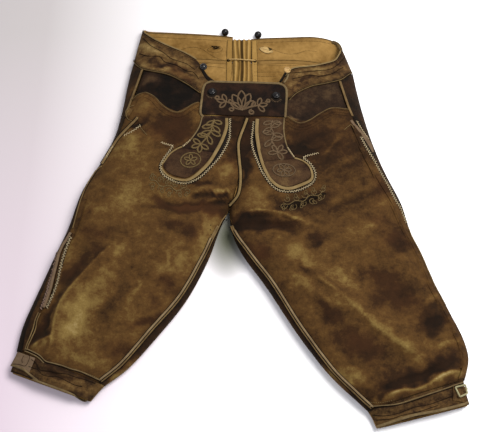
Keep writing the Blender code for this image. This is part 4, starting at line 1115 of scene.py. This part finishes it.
ground.add(flat_cords("side_tan_l", [run], 9.5, 1.4, TAN, [widths]))


def runs_beside(lines, lift):
    """Cords that lie to the left of paths by given distances, or to the right by negative ones."""
    return [cord_run(beside(path, away), lift) for path, away in lines]


SEAM_RIDGES = ((SIDE_LOW_R, 1.7), (SIDE_LOW_R, -1.7), (SIDE_HIGH_R, 0), (SIDE_LOW_L, 0))
flat_cords("side_ridges", runs_beside(SEAM_RIDGES, 0.3), 2.0, 1.3, WELT)


def strip_middle(node, rows):
    """The middle of a long strip's rows of points, from its lower end up."""
    spots = np.unique(np.round(points_of(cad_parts[node].data), 2), axis=0)
    flat = spots[:, :2] - spots[:, :2].mean(axis=0)
    ahead = np.linalg.svd(flat, full_matrices=False)[2][0]
    ahead *= 1 if ahead[1] > 0 else -1
    groups = np.array_split(spots[np.argsort(flat @ ahead)], rows)
    return np.array([group[:, :2].mean(axis=0) for group in groups])


SIDE_ROWS = 30
SIDE_HALF_WIDTH = 7.5
cover_run = cord_run(beside(strip_middle("side_band_l", SIDE_ROWS)[1:-1], SIDE_HALF_WIDTH), 0.0)
cover = flat_cords("side_cover_l", [cover_run], 5.0, 0.9, LEG)
add_value(cover.data, "rim", np.zeros(len(cover.data.vertices)))
paint(cover.data, 0.40)
ground.add(cover)
CORNER_L = ((205, 322.5), (211, 325.5), (217, 327.5))
flat_cords("corner_l", [flat_run(CORNER_L, (6.5, 6.5))], 9.0, 1.6, SHADE)

CUFF_SEAMS = ((CUFF_SEAM_PATH_R, 0.6), (CUFF_SEAM_PATH_R[:4], -3.4), (CUFF_SEAM_PATH_L, 1.4))
INSEAM_ROWS = 27
INSEAMS = {side: strip_middle(f"inseam_welt_{side}", INSEAM_ROWS) for side in "rl"}
INSEAMS["r"] = np.vstack([INSEAMS["r"][:-1], CROTCH_R])
BROAD_TO = {"r": -5, "l": -1}      # the rows at which the broad ridge ends, short of the crotch
seam_shade_lines, ridges, bands = [], [], []
for side, sign in (("r", 1), ("l", -1)):
    upper = BROAD_TO[side]
    for away, end in ((-3.3, None), (0.0, upper), (4.4, upper)):
        seam_shade_lines.append(cord_run(beside(INSEAMS[side][:end], sign * away), 0.0))
    ridges.append(cord_run(beside(INSEAMS[side], sign * -1.7), 0.2))
    bands.append(cord_run(beside(INSEAMS[side][:upper], sign * 2.2), 0.2))
flat_cords("inseam_ridges", ridges, 2.0, 1.2, WELT)
flat_cords("inseam_bands", bands, 3.4, 1.4, INSEAM_BAND)
seam_shade_lines.append(cord_run(SIDE_LOW_R, 0.1))
SEAM_SHADES = (
    (SIDE_TAN_R, 4.0), (CUFF_SEAM_PATH_R, -1.4), (CUFF_SEAM_PATH_L, -0.8), (FLY, 3.0), (FLY, -3.0),
    (TAB_PIPING_R, 3.4), (TAB_PIPING_L, -3.4), (KNIFE, 3.2), (KNIFE, -3.2), (FRONT_TOP_R, -1.9),
    (FRONT_TOP_L, -1.9), (FRONT_SEAM_R, 1.8), (FRONT_SEAM_L, 1.8),
)
seam_shade_lines += runs_beside(SEAM_SHADES, -0.1)
# Painted shade: black lines sunk along the inseams, seams, pipings, welts and edges, where their grooves lie in
# shade
tubes("seam_shade_lines", seam_shade_lines, 0.6, BLACK, 1)
# Painted shade: dark lines sunk in the cuffs' creases
cuff_crease_shade = cord_runs(CUFF_LINES_R + CUFF_LINES_L + (CUFF_FUZZ_R,), -0.1)
tubes("cuff_crease_shade", cuff_crease_shade, 0.6, SHADE_THREAD, 1)
flat_cords("cuff_seams", runs_beside(CUFF_SEAMS, 0.2), 1.8, 1.2, BINDING)


def join_path(upper, lower, x_from, x_to):
    """The line between two pieces that meet edge to edge, one above the other on the plan."""
    above, below = (points_of(pieces[node].data) for node in (upper, lower))
    path = []
    for x in np.arange(x_from, x_to, 9.0):
        edges = above[np.abs(above[:, 0] - x) < 5, 1].min(), below[np.abs(below[:, 0] - x) < 5, 1].max()
        path.append((x, sum(edges) / 2, 2.0))
    return path


joins = (
    join_path("waistband_back_r", "back_leg_r", -100, -22),
    join_path("waistband_back_l", "back_leg_l", 34, 178),
)
join_runs = [[to_part(*spot) for spot in path] for path in joins]
flat_cords("inside_joins", join_runs, 8.5, 1.6, SEAM)
above_joins = [[(x, y + 3.4) for x, y, _ in path] for path in joins]
tubes("join_stitches", stitch_rows(above_joins, 2.6, 0.5, 1.3), 0.34, BROWN)

# ---------------------------------------------------------------- stitches

CREAM_ZIGS = table(
    "path width pitch lift",
    (TAB_ZIG_R, 4.0, 2.3, 0.5), (TAB_ZIG_L, 4.0, 2.3, 0.5),
    (TAB_SPUR_R, 3.6, 2.2, 0.5), (TAB_SPUR_L, 3.6, 2.2, 0.5),
    (TAB_OUTER_R[-2:], 2.6, 1.7, 0.6), (TAB_OUTER_L[-2:], 2.6, 1.7, 0.6),
    (KNIFE_ZIG, 4.4, 2.4, 0.5), (KNIFE_ZIG_LOW, 3.2, 2.2, 0.5),
    (SIDE_ZIG_R[1], 5.0, 2.5, 0.5), (SIDE_ZIG_L[0], 4.6, 2.4, 0.5), (SIDE_ZIG_L[1], 3.6, 2.2, 0.6),
)
ZIGS_OVER_SHADE = (TAB_ZIG_R, TAB_ZIG_L, SIDE_ZIG_R[1], SIDE_ZIG_L[0], SIDE_ZIG_R[0])      # with a strip of painted shade underneath, which shows dark between the teeth
ground.add(flat_cords("zigzag_shade_strips", cord_runs(ZIGS_OVER_SHADE, -0.15), 5.4, 0.6, SHADE))
tubes("zigzag_thread", [zigzag(*zig) for zig in CREAM_ZIGS], 0.5, CREAM)
tubes("back_zigzag", [zigzag(SIDE_ZIG_R[0], 5.0, 2.5, 0.5)], 0.56, MAUVE)
tubes("thread_ends", cord_runs((SPUR_L, KNIFE_END, KNIFE_LOOP), 0.6, 1.5), 0.6, OLIVE)

STITCHED = (
    (FRONT_TOP_R, -5), (FRONT_TOP_L, -5), (FRONT_SEAM_R, 4.5), (FRONT_SEAM_L, 4.5),
    (POCKET_R, -3.5), (POCKET_R, -11), (POCKET_L, -3.5), (POCKET_L, -9.5), (POCKET_L, -15),
)
stitched = [beside(path, away) for path, away in STITCHED]
tubes("dark_stitches", stitch_rows(stitched, 2.4, 0.7, 0.25), 0.34, BROWN)
CROTCH_HOLES = ((-50, -4), (-51, -15), (-48, -26), (-46, -37))
tubes("crotch_holes", dashes(CROTCH_HOLES, 2.0, 5.5, 0.2), 0.7, SHADE)

tubes("band_waves", cord_runs(BAND_WAVES_R + BAND_WAVES_L, 0.05, 2.5), 0.6, BLACK, 1)

BUCKLE = ((351.5, -289.5), (368, -285.5), (370, -299.5), (357.5, -305))
height = max(ground.level(x, y, 3.0) for x, y in BUCKLE) / MM + 1.6
bars = [flat_run(pair, (height, height)) for pair in zip(BUCKLE, BUCKLE[1:] + BUCKLE[:1])]
flat_cords("buckle_frame", bars, 2.8, 2.0, FRAME)
CUFF_STITCHED = (((214, -313), (231, -314), (252, -310)), ((-222, -277), (-236, -271), (-252, -265)))
tubes("cuff_stitches", stitch_rows(CUFF_STITCHED, 2.0, 1.4, 0.6), 0.45, OLIVE)
tubes("strap_stitches", stitch_rows((STRAP_EDGE, STRAP_SLIT), 1.8, 0.5, 0.5), 0.42, BROWN)

# ---------------------------------------------------------------- embroidery

Leaf = namedtuple("Leaf", "x y length width angle")


def leaf_outline(leaf, points=9):
    """A pointed leaf from its stalk, as a closed line."""
    turn = math.radians(leaf.angle)
    ahead = np.array((math.cos(turn), math.sin(turn)))
    side = np.array((-ahead[1], ahead[0]))
    there, back = [], []
    for t in np.linspace(0, 1, points):
        middle = (leaf.x, leaf.y) + ahead * leaf.length * t
        bulge = side * leaf.width * math.sin(math.pi * t ** 1.2) ** 0.65
        there.append(middle + bulge)
        back.append(middle - bulge)
    return there + back[-2:0:-1]


CURL_POINTS = 10         # in one turn of a scroll
OVAL_POINTS = 20


def curl(x, y, radius, start, turns):
    """A scroll that winds inwards from its outer end."""
    line = []
    for t in np.linspace(0, 1, max(5, int(CURL_POINTS * abs(turns)))):
        angle, r = math.radians(start + 360 * turns * t), radius * (1 - 0.6 * t)
        line.append((x + r * math.cos(angle), y + r * math.sin(angle)))
    return line


def oval(x, y, across, along, turn):
    turn = math.radians(turn)
    line = []
    for k in range(OVAL_POINTS):
        angle = 2 * math.pi * k / OVAL_POINTS
        a, b = across * math.cos(angle), along * math.sin(angle)
        line.append((x + a * math.cos(turn) - b * math.sin(turn), y + a * math.sin(turn) + b * math.cos(turn)))
    return line


def embroider(name, finish, leaves, stems, width, ovals=()):
    """Leaves in outline and stems, all in satin stitch."""
    runs = []
    for outline in [leaf_outline(leaf) for leaf in leaves] + list(ovals):
        runs += satin(outline, width, 0.9, 0.4, closed=True, pad=1.0)
    for stem in stems:
        runs += satin(stem, width * 1.1, 0.9, 0.4, pad=1.0)
    tubes(name, runs, 0.5, finish)


def fingers(*rows):
    """Slim leaves: for each row a place on the stem, a length and the angles that they point at."""
    return [Leaf(x, y, length, 0.15 * length + 1.2, angle) for x, y, length, angles in rows for angle in angles]


BIB_LEAVES = fingers(
    (4, 220, 42, (92,)), (4, 221, 37, (67, 118)), (5, 221, 27, (40, 145)), (-26, 238, 17, (110, 170, 230)),
    (-12, 232, 13, (130,)), (34, 229, 17, (75, 10, -50)), (22, 226, 12, (60,)),
)
BIB_STEMS = (
    ((0, 223), (-12, 232), (-26, 238)), ((8, 223), (20, 226), (34, 229)), curl(-42, 247, 5, -60, -1.2),
    curl(22, 215, 5.5, 90, 1.2), curl(-16, 222, 5, 60, -1.1), curl(52, 240, 4.5, 200, 1.2),
)
embroider("bib_embroidery", TAUPE, BIB_LEAVES, BIB_STEMS, 3.3)

TAB_STEM_R = ((-47, 199), (-50, 186), (-54, 172), (-62, 159), (-71, 147))
TAB_LEAVES_R = fingers((-48, 196, 16, (215, -20)), (-50, 186, 19, (190, -45)), (-53, 175, 20, (205, -30)),
                       (-58, 165, 19, (175, -70)), (-71, 147, 17, (140, 200, 262, 325)))
TAB_STEM_L = ((60, 197), (57, 183), (62, 169), (58, 155), (65, 141), (69, 130))
TAB_LEAVES_L = fingers((60, 194, 17, (-15, 195)), (58, 182, 19, (30, 220)), (61, 169, 19, (-20, 170)),
                       (59, 156, 19, (15, 225)), (69, 130, 17, (60, 5, 125, -60, 185)))
embroider("tab_embroidery_r", OLIVE, TAB_LEAVES_R, (TAB_STEM_R,), 3.1)
embroider("tab_embroidery_l", TAUPE, TAB_LEAVES_L, (TAB_STEM_L,), 3.1)
WREATH_R, WREATH_L = (-88, 115, 12, (20, 90, 160, 230, 310)), (80, 95, 13, (0, 60, 130, 190, 250, 310))
embroider("wreath_r", OLIVE, fingers(WREATH_R), (), 2.4, [oval(-88, 115, 18, 14.5, 12)])
embroider("wreath_l", TAUPE, fingers(WREATH_L), (), 2.4, [oval(80, 95, 20, 12, -4)])

# Scrolls along a stem: how far along, how far to its left, their size and where they start, in degrees
SCROLLS = table(
    "along away radius start",
    (0.0, 6, 6.9, 0), (0.1, -7, 5.75, 180), (0.22, 8, 6.9, -40), (0.34, -6, 5.75, 200),
    (0.44, 7, 5.75, -30), (0.56, -7, 6.9, 170), (0.66, 8, 6.325, 60), (0.78, -6, 5.75, 200),
    (0.88, 6, 6.9, -20), (1.0, -5, 5.75, 150),
)
SCROLL_TURNS = 0.936
BAND_UNDER_R = ((-158, 76), (-138, 67), (-114, 60), (-92, 60))
BAND_UNDER_L = ((78, 33), (98, 34), (124, 43), (150, 54))
SCROLL_SHADOW_L = ((70, 26), (86, 27), (108, 33), (132, 43), (153, 50))


def scroll_band(name, path, flip):
    """A row of scrolls either side of a winding stem, with small leaves between."""
    path = spaced(smooth_path(path, 3), 1.0)
    sides = sides_of(path) * flip
    stem = [path[k] + sides[k] * 3 * math.sin(k * 0.22) for k in range(0, len(path), 5)]
    runs = satin(stem, 1.7, 0.95, 0.3, pad=0.6)
    for scroll in SCROLLS:
        k = min(int(scroll.along * len(path)), len(path) - 1)
        x, y = path[k] + sides[k] * scroll.away
        turns = math.copysign(SCROLL_TURNS, scroll.away) * flip
        runs += satin(curl(x, y, scroll.radius, scroll.start * flip, turns), 1.3, 0.95, 0.3, pad=0.6)
        tip = Leaf(x, y, 9, 2.4, scroll.start + 90 * flip)
        runs += satin(leaf_outline(tip, 6), 1.0, 0.9, 0.3, closed=True, pad=0.4)
    tubes(name, runs, 0.46, OLIVE)


# Painted shadow: a dark satin spindle under the left scrolls, where the leg's fold lies in shade
shadow_threads = satin(SCROLL_SHADOW_L, 13, 0.8, 0.15, pad=0.1, spindle=True)
ground.add(tubes("scroll_ground_l", shadow_threads, 0.55, SHADE_THREAD))
scroll_band("scrolls_r", BAND_UNDER_R, 1)
scroll_band("scrolls_l", BAND_UNDER_L, -1)

# ---------------------------------------------------------------- waist: inside, gusset, lace

GUSSET_DEPTH = (3.2, 7.4)       # the folds' foot and crest, in height
GUSSET_SLOT_SHADE = (2.5, 3.0)        # where the middle fold is painted dark as shade, and its half width
GUSSET_MIDDLE, GUSSET_HALF = 3.0, 19.0
PINCH_PLACE, PINCH_REACH, PINCH = 358.0, 30.0, 0.2      # where the lace draws the folds together
gusset = smooth_copy("back_gusset", 2, 0.3)
spots = points_of(gusset)
away = (spots[:, 0] - GUSSET_MIDDLE) / GUSSET_HALF
drawn = PINCH * np.exp(-(((spots[:, 1] - PINCH_PLACE) / PINCH_REACH) ** 2)) * np.clip(1 - away**2, 0, 1)
spots[:, 0] = GUSSET_MIDDLE + away * GUSSET_HALF * (1 - drawn)
spots[:, 0] += 1.2 * np.sin(spots[:, 1] / 17) * np.clip(1 - away**2, 0, 1)
move_points(gusset, spots)
heights = spots[:, 2]
creased = np.clip((heights - GUSSET_DEPTH[0]) / (GUSSET_DEPTH[1] - GUSSET_DEPTH[0]), 0, 1)
paint(gusset, 0.55)
slot = np.exp(-(((points_of(gusset)[:, 0] - GUSSET_SLOT_SHADE[0]) / GUSSET_SLOT_SHADE[1]) ** 2))
# Painted shade and highlight: the gusset is paler high on its folds, darker low in them and darkest in the
# middle fold
add_value(gusset, "tone", 0.18 + 0.5 * creased - 0.5 * slot)
stand_for(link("sewn_back_gusset", gusset, INSIDE), "back_gusset")

INSIDE_SEAMS = (
    ((-63, 379), (-50, 370), (-24, 358)),
    ((-150, 402), (-124, 388), (-103, 394), (-80, 392), (-63, 379)),
    ((-90, 352), (-63, 357), (-46, 357), (-24, 354)),
    ((-86, 345), (-60, 349), (-28, 345)),
    ((60, 392), (71, 386), (90, 379), (110, 379), (132, 386), (152, 384)),
    ((27, 353), (59, 352), (87, 352), (114, 351)),
    ((27, 335), (59, 336), (81, 336)),
    ((27, 326), (48, 326), (70, 326)),
    ((-16, 414), (-17, 392), (-17, 340), (-20, 300)),
    ((22, 408), (22, 382), (23, 340), (25, 300)),
    ((-26, 412), (-27, 370), (-28, 310)),
    ((32, 408), (33, 370), (34, 310)),
    ((-190, 420), (-122, 416), (-60, 412), (-28, 409)),
    ((34, 405), (90, 408), (150, 409), (178, 403)),
)
tubes("inside_stitches", stitch_rows(INSIDE_SEAMS, 2.6, 0.6, 0.15), 0.34, BROWN)

LEAF_RIB = ((38, 390), (46, 389), (56, 386))
leaf_rows = dashes(leaf_outline(Leaf(37, 391, 28, 7.6, -14)) + [(37, 391)], 2.2, 0.5, 0.3)
leaf_rows += dashes(LEAF_RIB, 2.0, 0.4, 0.4)
leaf_rows += dashes(leaf_outline(Leaf(-67, 388, 32, 8, 4)) + [(-67, 388)], 2.2, 0.5, 0.3)
TANGLES = table("x y wide high turns", (-50, 393, 11, 5, 20), (59, 388, 5, 4, 12))


def scribble(tangle):
    """A thread end worked to and fro in a small heap."""
    points = []
    for k in range(tangle.turns):
        reach = 0.35 + 0.65 * abs(math.sin(k * 1.3 + 0.4))
        across, up = tangle.wide * reach * math.cos(k * 2.4), tangle.high * reach * math.sin(k * 1.9)
        points.append((tangle.x + across, tangle.y + up))
    return points


leaf_rows += [cord_run(scribble(tangle), 0.6, 1.5) for tangle in TANGLES]
tubes("leaf_threads", leaf_rows, 0.26, BLACK)

LACE_ROUTE = (
    (-24, 362, 5.4), (-21, 361.8, 7.2), (-16, 361.2, 9.2), (0, 360, 10.2), (14, 359, 9.9), (22, 359.2, 9.0),
    (27, 359.6, 7.2), (30, 360, 5.4),
)
LACE_THICK = 2.2
lace_path = [to_part(*point) for point in smooth_path(LACE_ROUTE, 3)]
lace = tubes("lace", [lace_path], LACE_THICK / 2, LACE, 3)
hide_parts("back_lace")
EYELET = ((0, 0), (3.2, 0), (3.4, 0.4), (2.6, 0.7), (0, 0.4))
for side, (x, y) in (("r", (-23.5, 362)), ("l", (29, 360))):
    turned("eyelet_" + side, EYELET, ground.lay(x, y, 0.1), UP, BLACK, 20)

# ---------------------------------------------------------------- buttons

DOME = (
    (0, 0), (3.1, 0), (3.2, 1.4), (6.4, 2.1), (7.0, 3.3), (6.5, 4.4), (5.6, 4.9), (5.2, 4.6), (4.6, 5.2),
    (2.6, 6.5), (0, 6.9),
)
BALL = ((0, 0), (3.9, 0.9), (6.7, 4.0), (7.4, 7.3), (6.7, 10.6), (3.9, 13.6), (1.4, 14.7), (0, 14.4))
DISH = ((0, 0), (5.8, 0), (6.6, 1.2), (6.0, 2.7), (5.0, 2.9), (4.0, 1.9), (3.2, 1.4), (0, 1.2))
TILT = Vector((0.1, -0.2, 1)).normalized()


def seat_of(node, axis, height):
    """Where a button stands, from its solid's box and its own height in millimetres."""
    low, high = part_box(node)
    seat = (Vector(low) + Vector(high)) / 2 - axis * height * MM / 2
    seat.z = max(seat.z, 0)
    return seat


BUTTONS = table(
    "node profile height axis finish slot",
    ("bib_button_r", DOME, 7.2, UP, HORN, "horn"),
    ("bib_button_l", DOME, 7.2, UP, HORN, "horn"),
    ("brace_button_front_r", DOME, 7.2, TILT, HORN, "horn"),
    ("brace_button_front_l", DISH, 2.8, UP, PALE_HORN, "pale_horn"),
    ("brace_button_back_r", BALL, 14.8, UP, HORN, "horn"),
    ("brace_button_back_l", BALL, 14.8, UP, HORN, "horn"),
)
for button in BUTTONS:
    seat = seat_of(button.node, button.axis, button.height)
    made = turned("turned_" + button.node, button.profile, seat, button.axis, button.finish)
    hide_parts(button.node)

STRAP_R = ((-73, 318), (-69, 306), (-62, 294), (-52, 284))
STRAPS_L = (((87, 304), (82, 294), (76, 283)), ((92, 301), (89, 291), (83, 281)))


def strap_heights(node):
    """A strap's middle height at its upper and its lower end, from its solid."""
    spots = points_of(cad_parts[node].data)
    upper = spots[:, 1] > np.median(spots[:, 1])
    return spots[upper, 2].mean(), spots[~upper, 2].mean()


run = flat_run(STRAP_R, strap_heights("button_strap_r"))
strap_r = flat_cords("strap_r", [run], 9.0, 2.0, POCKET, [list(np.linspace(0.5, 1, len(run)))])
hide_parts("button_strap_r")
run = flat_run(STRAPS_L[0], strap_heights("button_strap_l"))
strap_l = flat_cords("strap_l", [run], 5.0, 2.0, POCKET)
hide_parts("button_strap_l")
run = flat_run(STRAPS_L[1], np.array(strap_heights("button_strap_l")) + 0.8)
flat_cords("strap_tongue_l", [run], 3.6, 1.8, BINDING)

# Dark rings round the bib's buttons: the buttonholes, and painted shade round each button
HOLE_SHADE_RING = ((0, 0), (9.0, 0), (9.3, 0.5), (8.4, 0.9), (0, 0.9))
for side, (x, y) in (("r", (-52, 258.5)), ("l", (68, 249.5))):
    turned("buttonhole_" + side, HOLE_SHADE_RING, ground.lay(x, y, 0.35), UP, SHADE, 28)

# Fans of buttonhole stitch below the bib's buttons
fans = []
for x, y in ((-52, 257), (68, 248)):
    for angle in np.radians(range(205, 340, 15)):
        out = np.array((math.cos(angle), math.sin(angle)))
        fans.append([ground.lay(*((x, y) + out * away), 0.5) for away in (8.5, 10.3, 12.0)])
tubes("buttonhole_fans", fans, 0.5, TAUPE)

# ---------------------------------------------------------------- cuts

# What each piece of leather was cut to, in metres and square metres, what it lies on and what is sewn to it
FLOOR = ("floor",)
CUTS = table(
    "node width length area rests_on trims held",
    ("back_leg_r", 0.310, 0.680, 0.178, FLOOR, ("side_band_r",)),
    ("back_leg_l", 0.360, 0.720, 0.198, FLOOR),
    ("waistband_back_r", 0.080, 0.200, 0.0125, FLOOR, ("lace_facing_r",)),
    ("waistband_back_l", 0.085, 0.210, 0.0114, FLOOR, ("lace_facing_l", "leaf_patch")),
    ("back_gusset", 0.060, 0.115, 0.0069, ("waistband_back_r", "waistband_back_l"), (), "gathered"),
    ("front_leg_r", 0.270, 0.600, 0.119, ("back_leg_r",),
     ("inseam_welt_r", "side_piping_r", "fly_piping", "knife_pocket_tab", "knife_pocket_welt", "scrolls_r")),
    ("front_leg_l", 0.310, 0.635, 0.136, ("back_leg_l",),
     ("inseam_welt_l", "side_piping_l", "scroll_ground_l", "scrolls_l")),
    ("side_band_l", 0.018, 0.490, 0.0072, ("back_leg_l",)),
    ("pocket_bearer_r", 0.085, 0.155, 0.0092, ("back_leg_r",)),
    ("pocket_bearer_l", 0.090, 0.140, 0.0088, ("back_leg_l",)),
    ("waistband_front_r", 0.075, 0.230, 0.0120, ("waistband_back_r",)),
    ("waistband_front_l", 0.070, 0.200, 0.0088, ("waistband_back_l",)),
    ("cuff_r", 0.040, 0.290, 0.0107, ("back_leg_r",), ("cuff_strap_r",)),
    ("cuff_l", 0.043, 0.310, 0.0117, ("back_leg_l",), ("cuff_loop_l", "buckle_frame")),
    ("bib", 0.078, 0.160, 0.0117, ("front_leg_r", "front_leg_l"),
     ("bib_binding", "bib_embroidery", "buttonhole_r", "buttonhole_l", "buttonhole_fans")),
    ("tab_upper_r", 0.048, 0.100, 0.0039, ("front_leg_r",), ("tab_embroidery_r",)),
    ("tab_upper_l", 0.055, 0.100, 0.0046, ("front_leg_l",), ("tab_embroidery_l",)),
    ("tab_end_r", 0.060, 0.092, 0.0036, ("front_leg_r",), ("tab_piping_r", "wreath_r")),
    ("tab_end_l", 0.058, 0.088, 0.0034, ("front_leg_l",), ("tab_piping_l", "wreath_l")),
    defaults=((), "laid"),
)

# ---------------------------------------------------------------- floor, light and camera

# Where the floor between the legs is in their shade: its middle and how far it reaches, in metres
CROTCH_SHADE, CROTCH_REACH = (-0.024, -0.055), (0.05, 0.095)
work = bmesh.new()
bmesh.ops.create_grid(work, x_segments=1, y_segments=1, size=6)
floor = put(bpy.data.objects.new("floor", shape_of(work, bpy.data.meshes.new("floor"))))
floor.location.z = -0.0005
paper = Finish("pale_floor", 0.9)
place = paper.node("TexCoord", out="Object")
across, up = (paper.node("SeparateXYZ", {"Vector": place}, out=axis) for axis in "XY")
shade = paper.mix((up * 1.4 + 0.45).clamped(), srgb(190, 176, 186), srgb(166, 161, 161))
open_floor = paper.mix((across * 1.9 + 0.75).clamped(), shade, srgb(240, 240, 242))
reach_x, reach_y = (across - CROTCH_SHADE[0]) / CROTCH_REACH[0], (up - CROTCH_SHADE[1]) / CROTCH_REACH[1]
deep = (1 - (reach_x * reach_x + reach_y * reach_y)).clamped()
paper.set("Base Color", paper.mix(deep, open_floor, srgb(72, 74, 57)))
floor.data.materials.append(paper.material)


def add_light(name, place, size, watts, colour):
    data = bpy.data.lights.new(name, "AREA")
    data.size, data.energy, data.color = size, watts, colour
    made = put(bpy.data.objects.new(name, data))
    made.location = place
    made.rotation_euler = (-Vector(place)).to_track_quat("-Z", "Y").to_euler()


add_light("key", (0.85, 0.35, 1.8), 1.0, 64, (1.0, 0.98, 0.95))
add_light("fill", (-1.2, -1.2, 1.8), 1.8, 12, (0.95, 0.95, 1.0))
world = bpy.data.worlds.new("studio")
world.use_nodes = True
sky = world.node_tree.nodes["Background"].inputs
sky["Color"].default_value, sky["Strength"].default_value = (0.95, 0.95, 1.0, 1), 0.6
bpy.context.scene.world = world
bpy.context.scene.view_settings.view_transform = "Standard"

ELEVATION = math.radians(66)
DISTANCE = 1.46
AIM = to_part(19, 27)
view = bpy.data.cameras.new("view")
view.lens, view.sensor_width = 58, 36
camera = put(bpy.data.objects.new("view", view))
camera.location = AIM + Vector((0, -math.cos(ELEVATION), math.sin(ELEVATION))) * DISTANCE
camera.rotation_euler = (AIM - camera.location).to_track_quat("-Z", "Y").to_euler()
bpy.context.scene.camera = camera
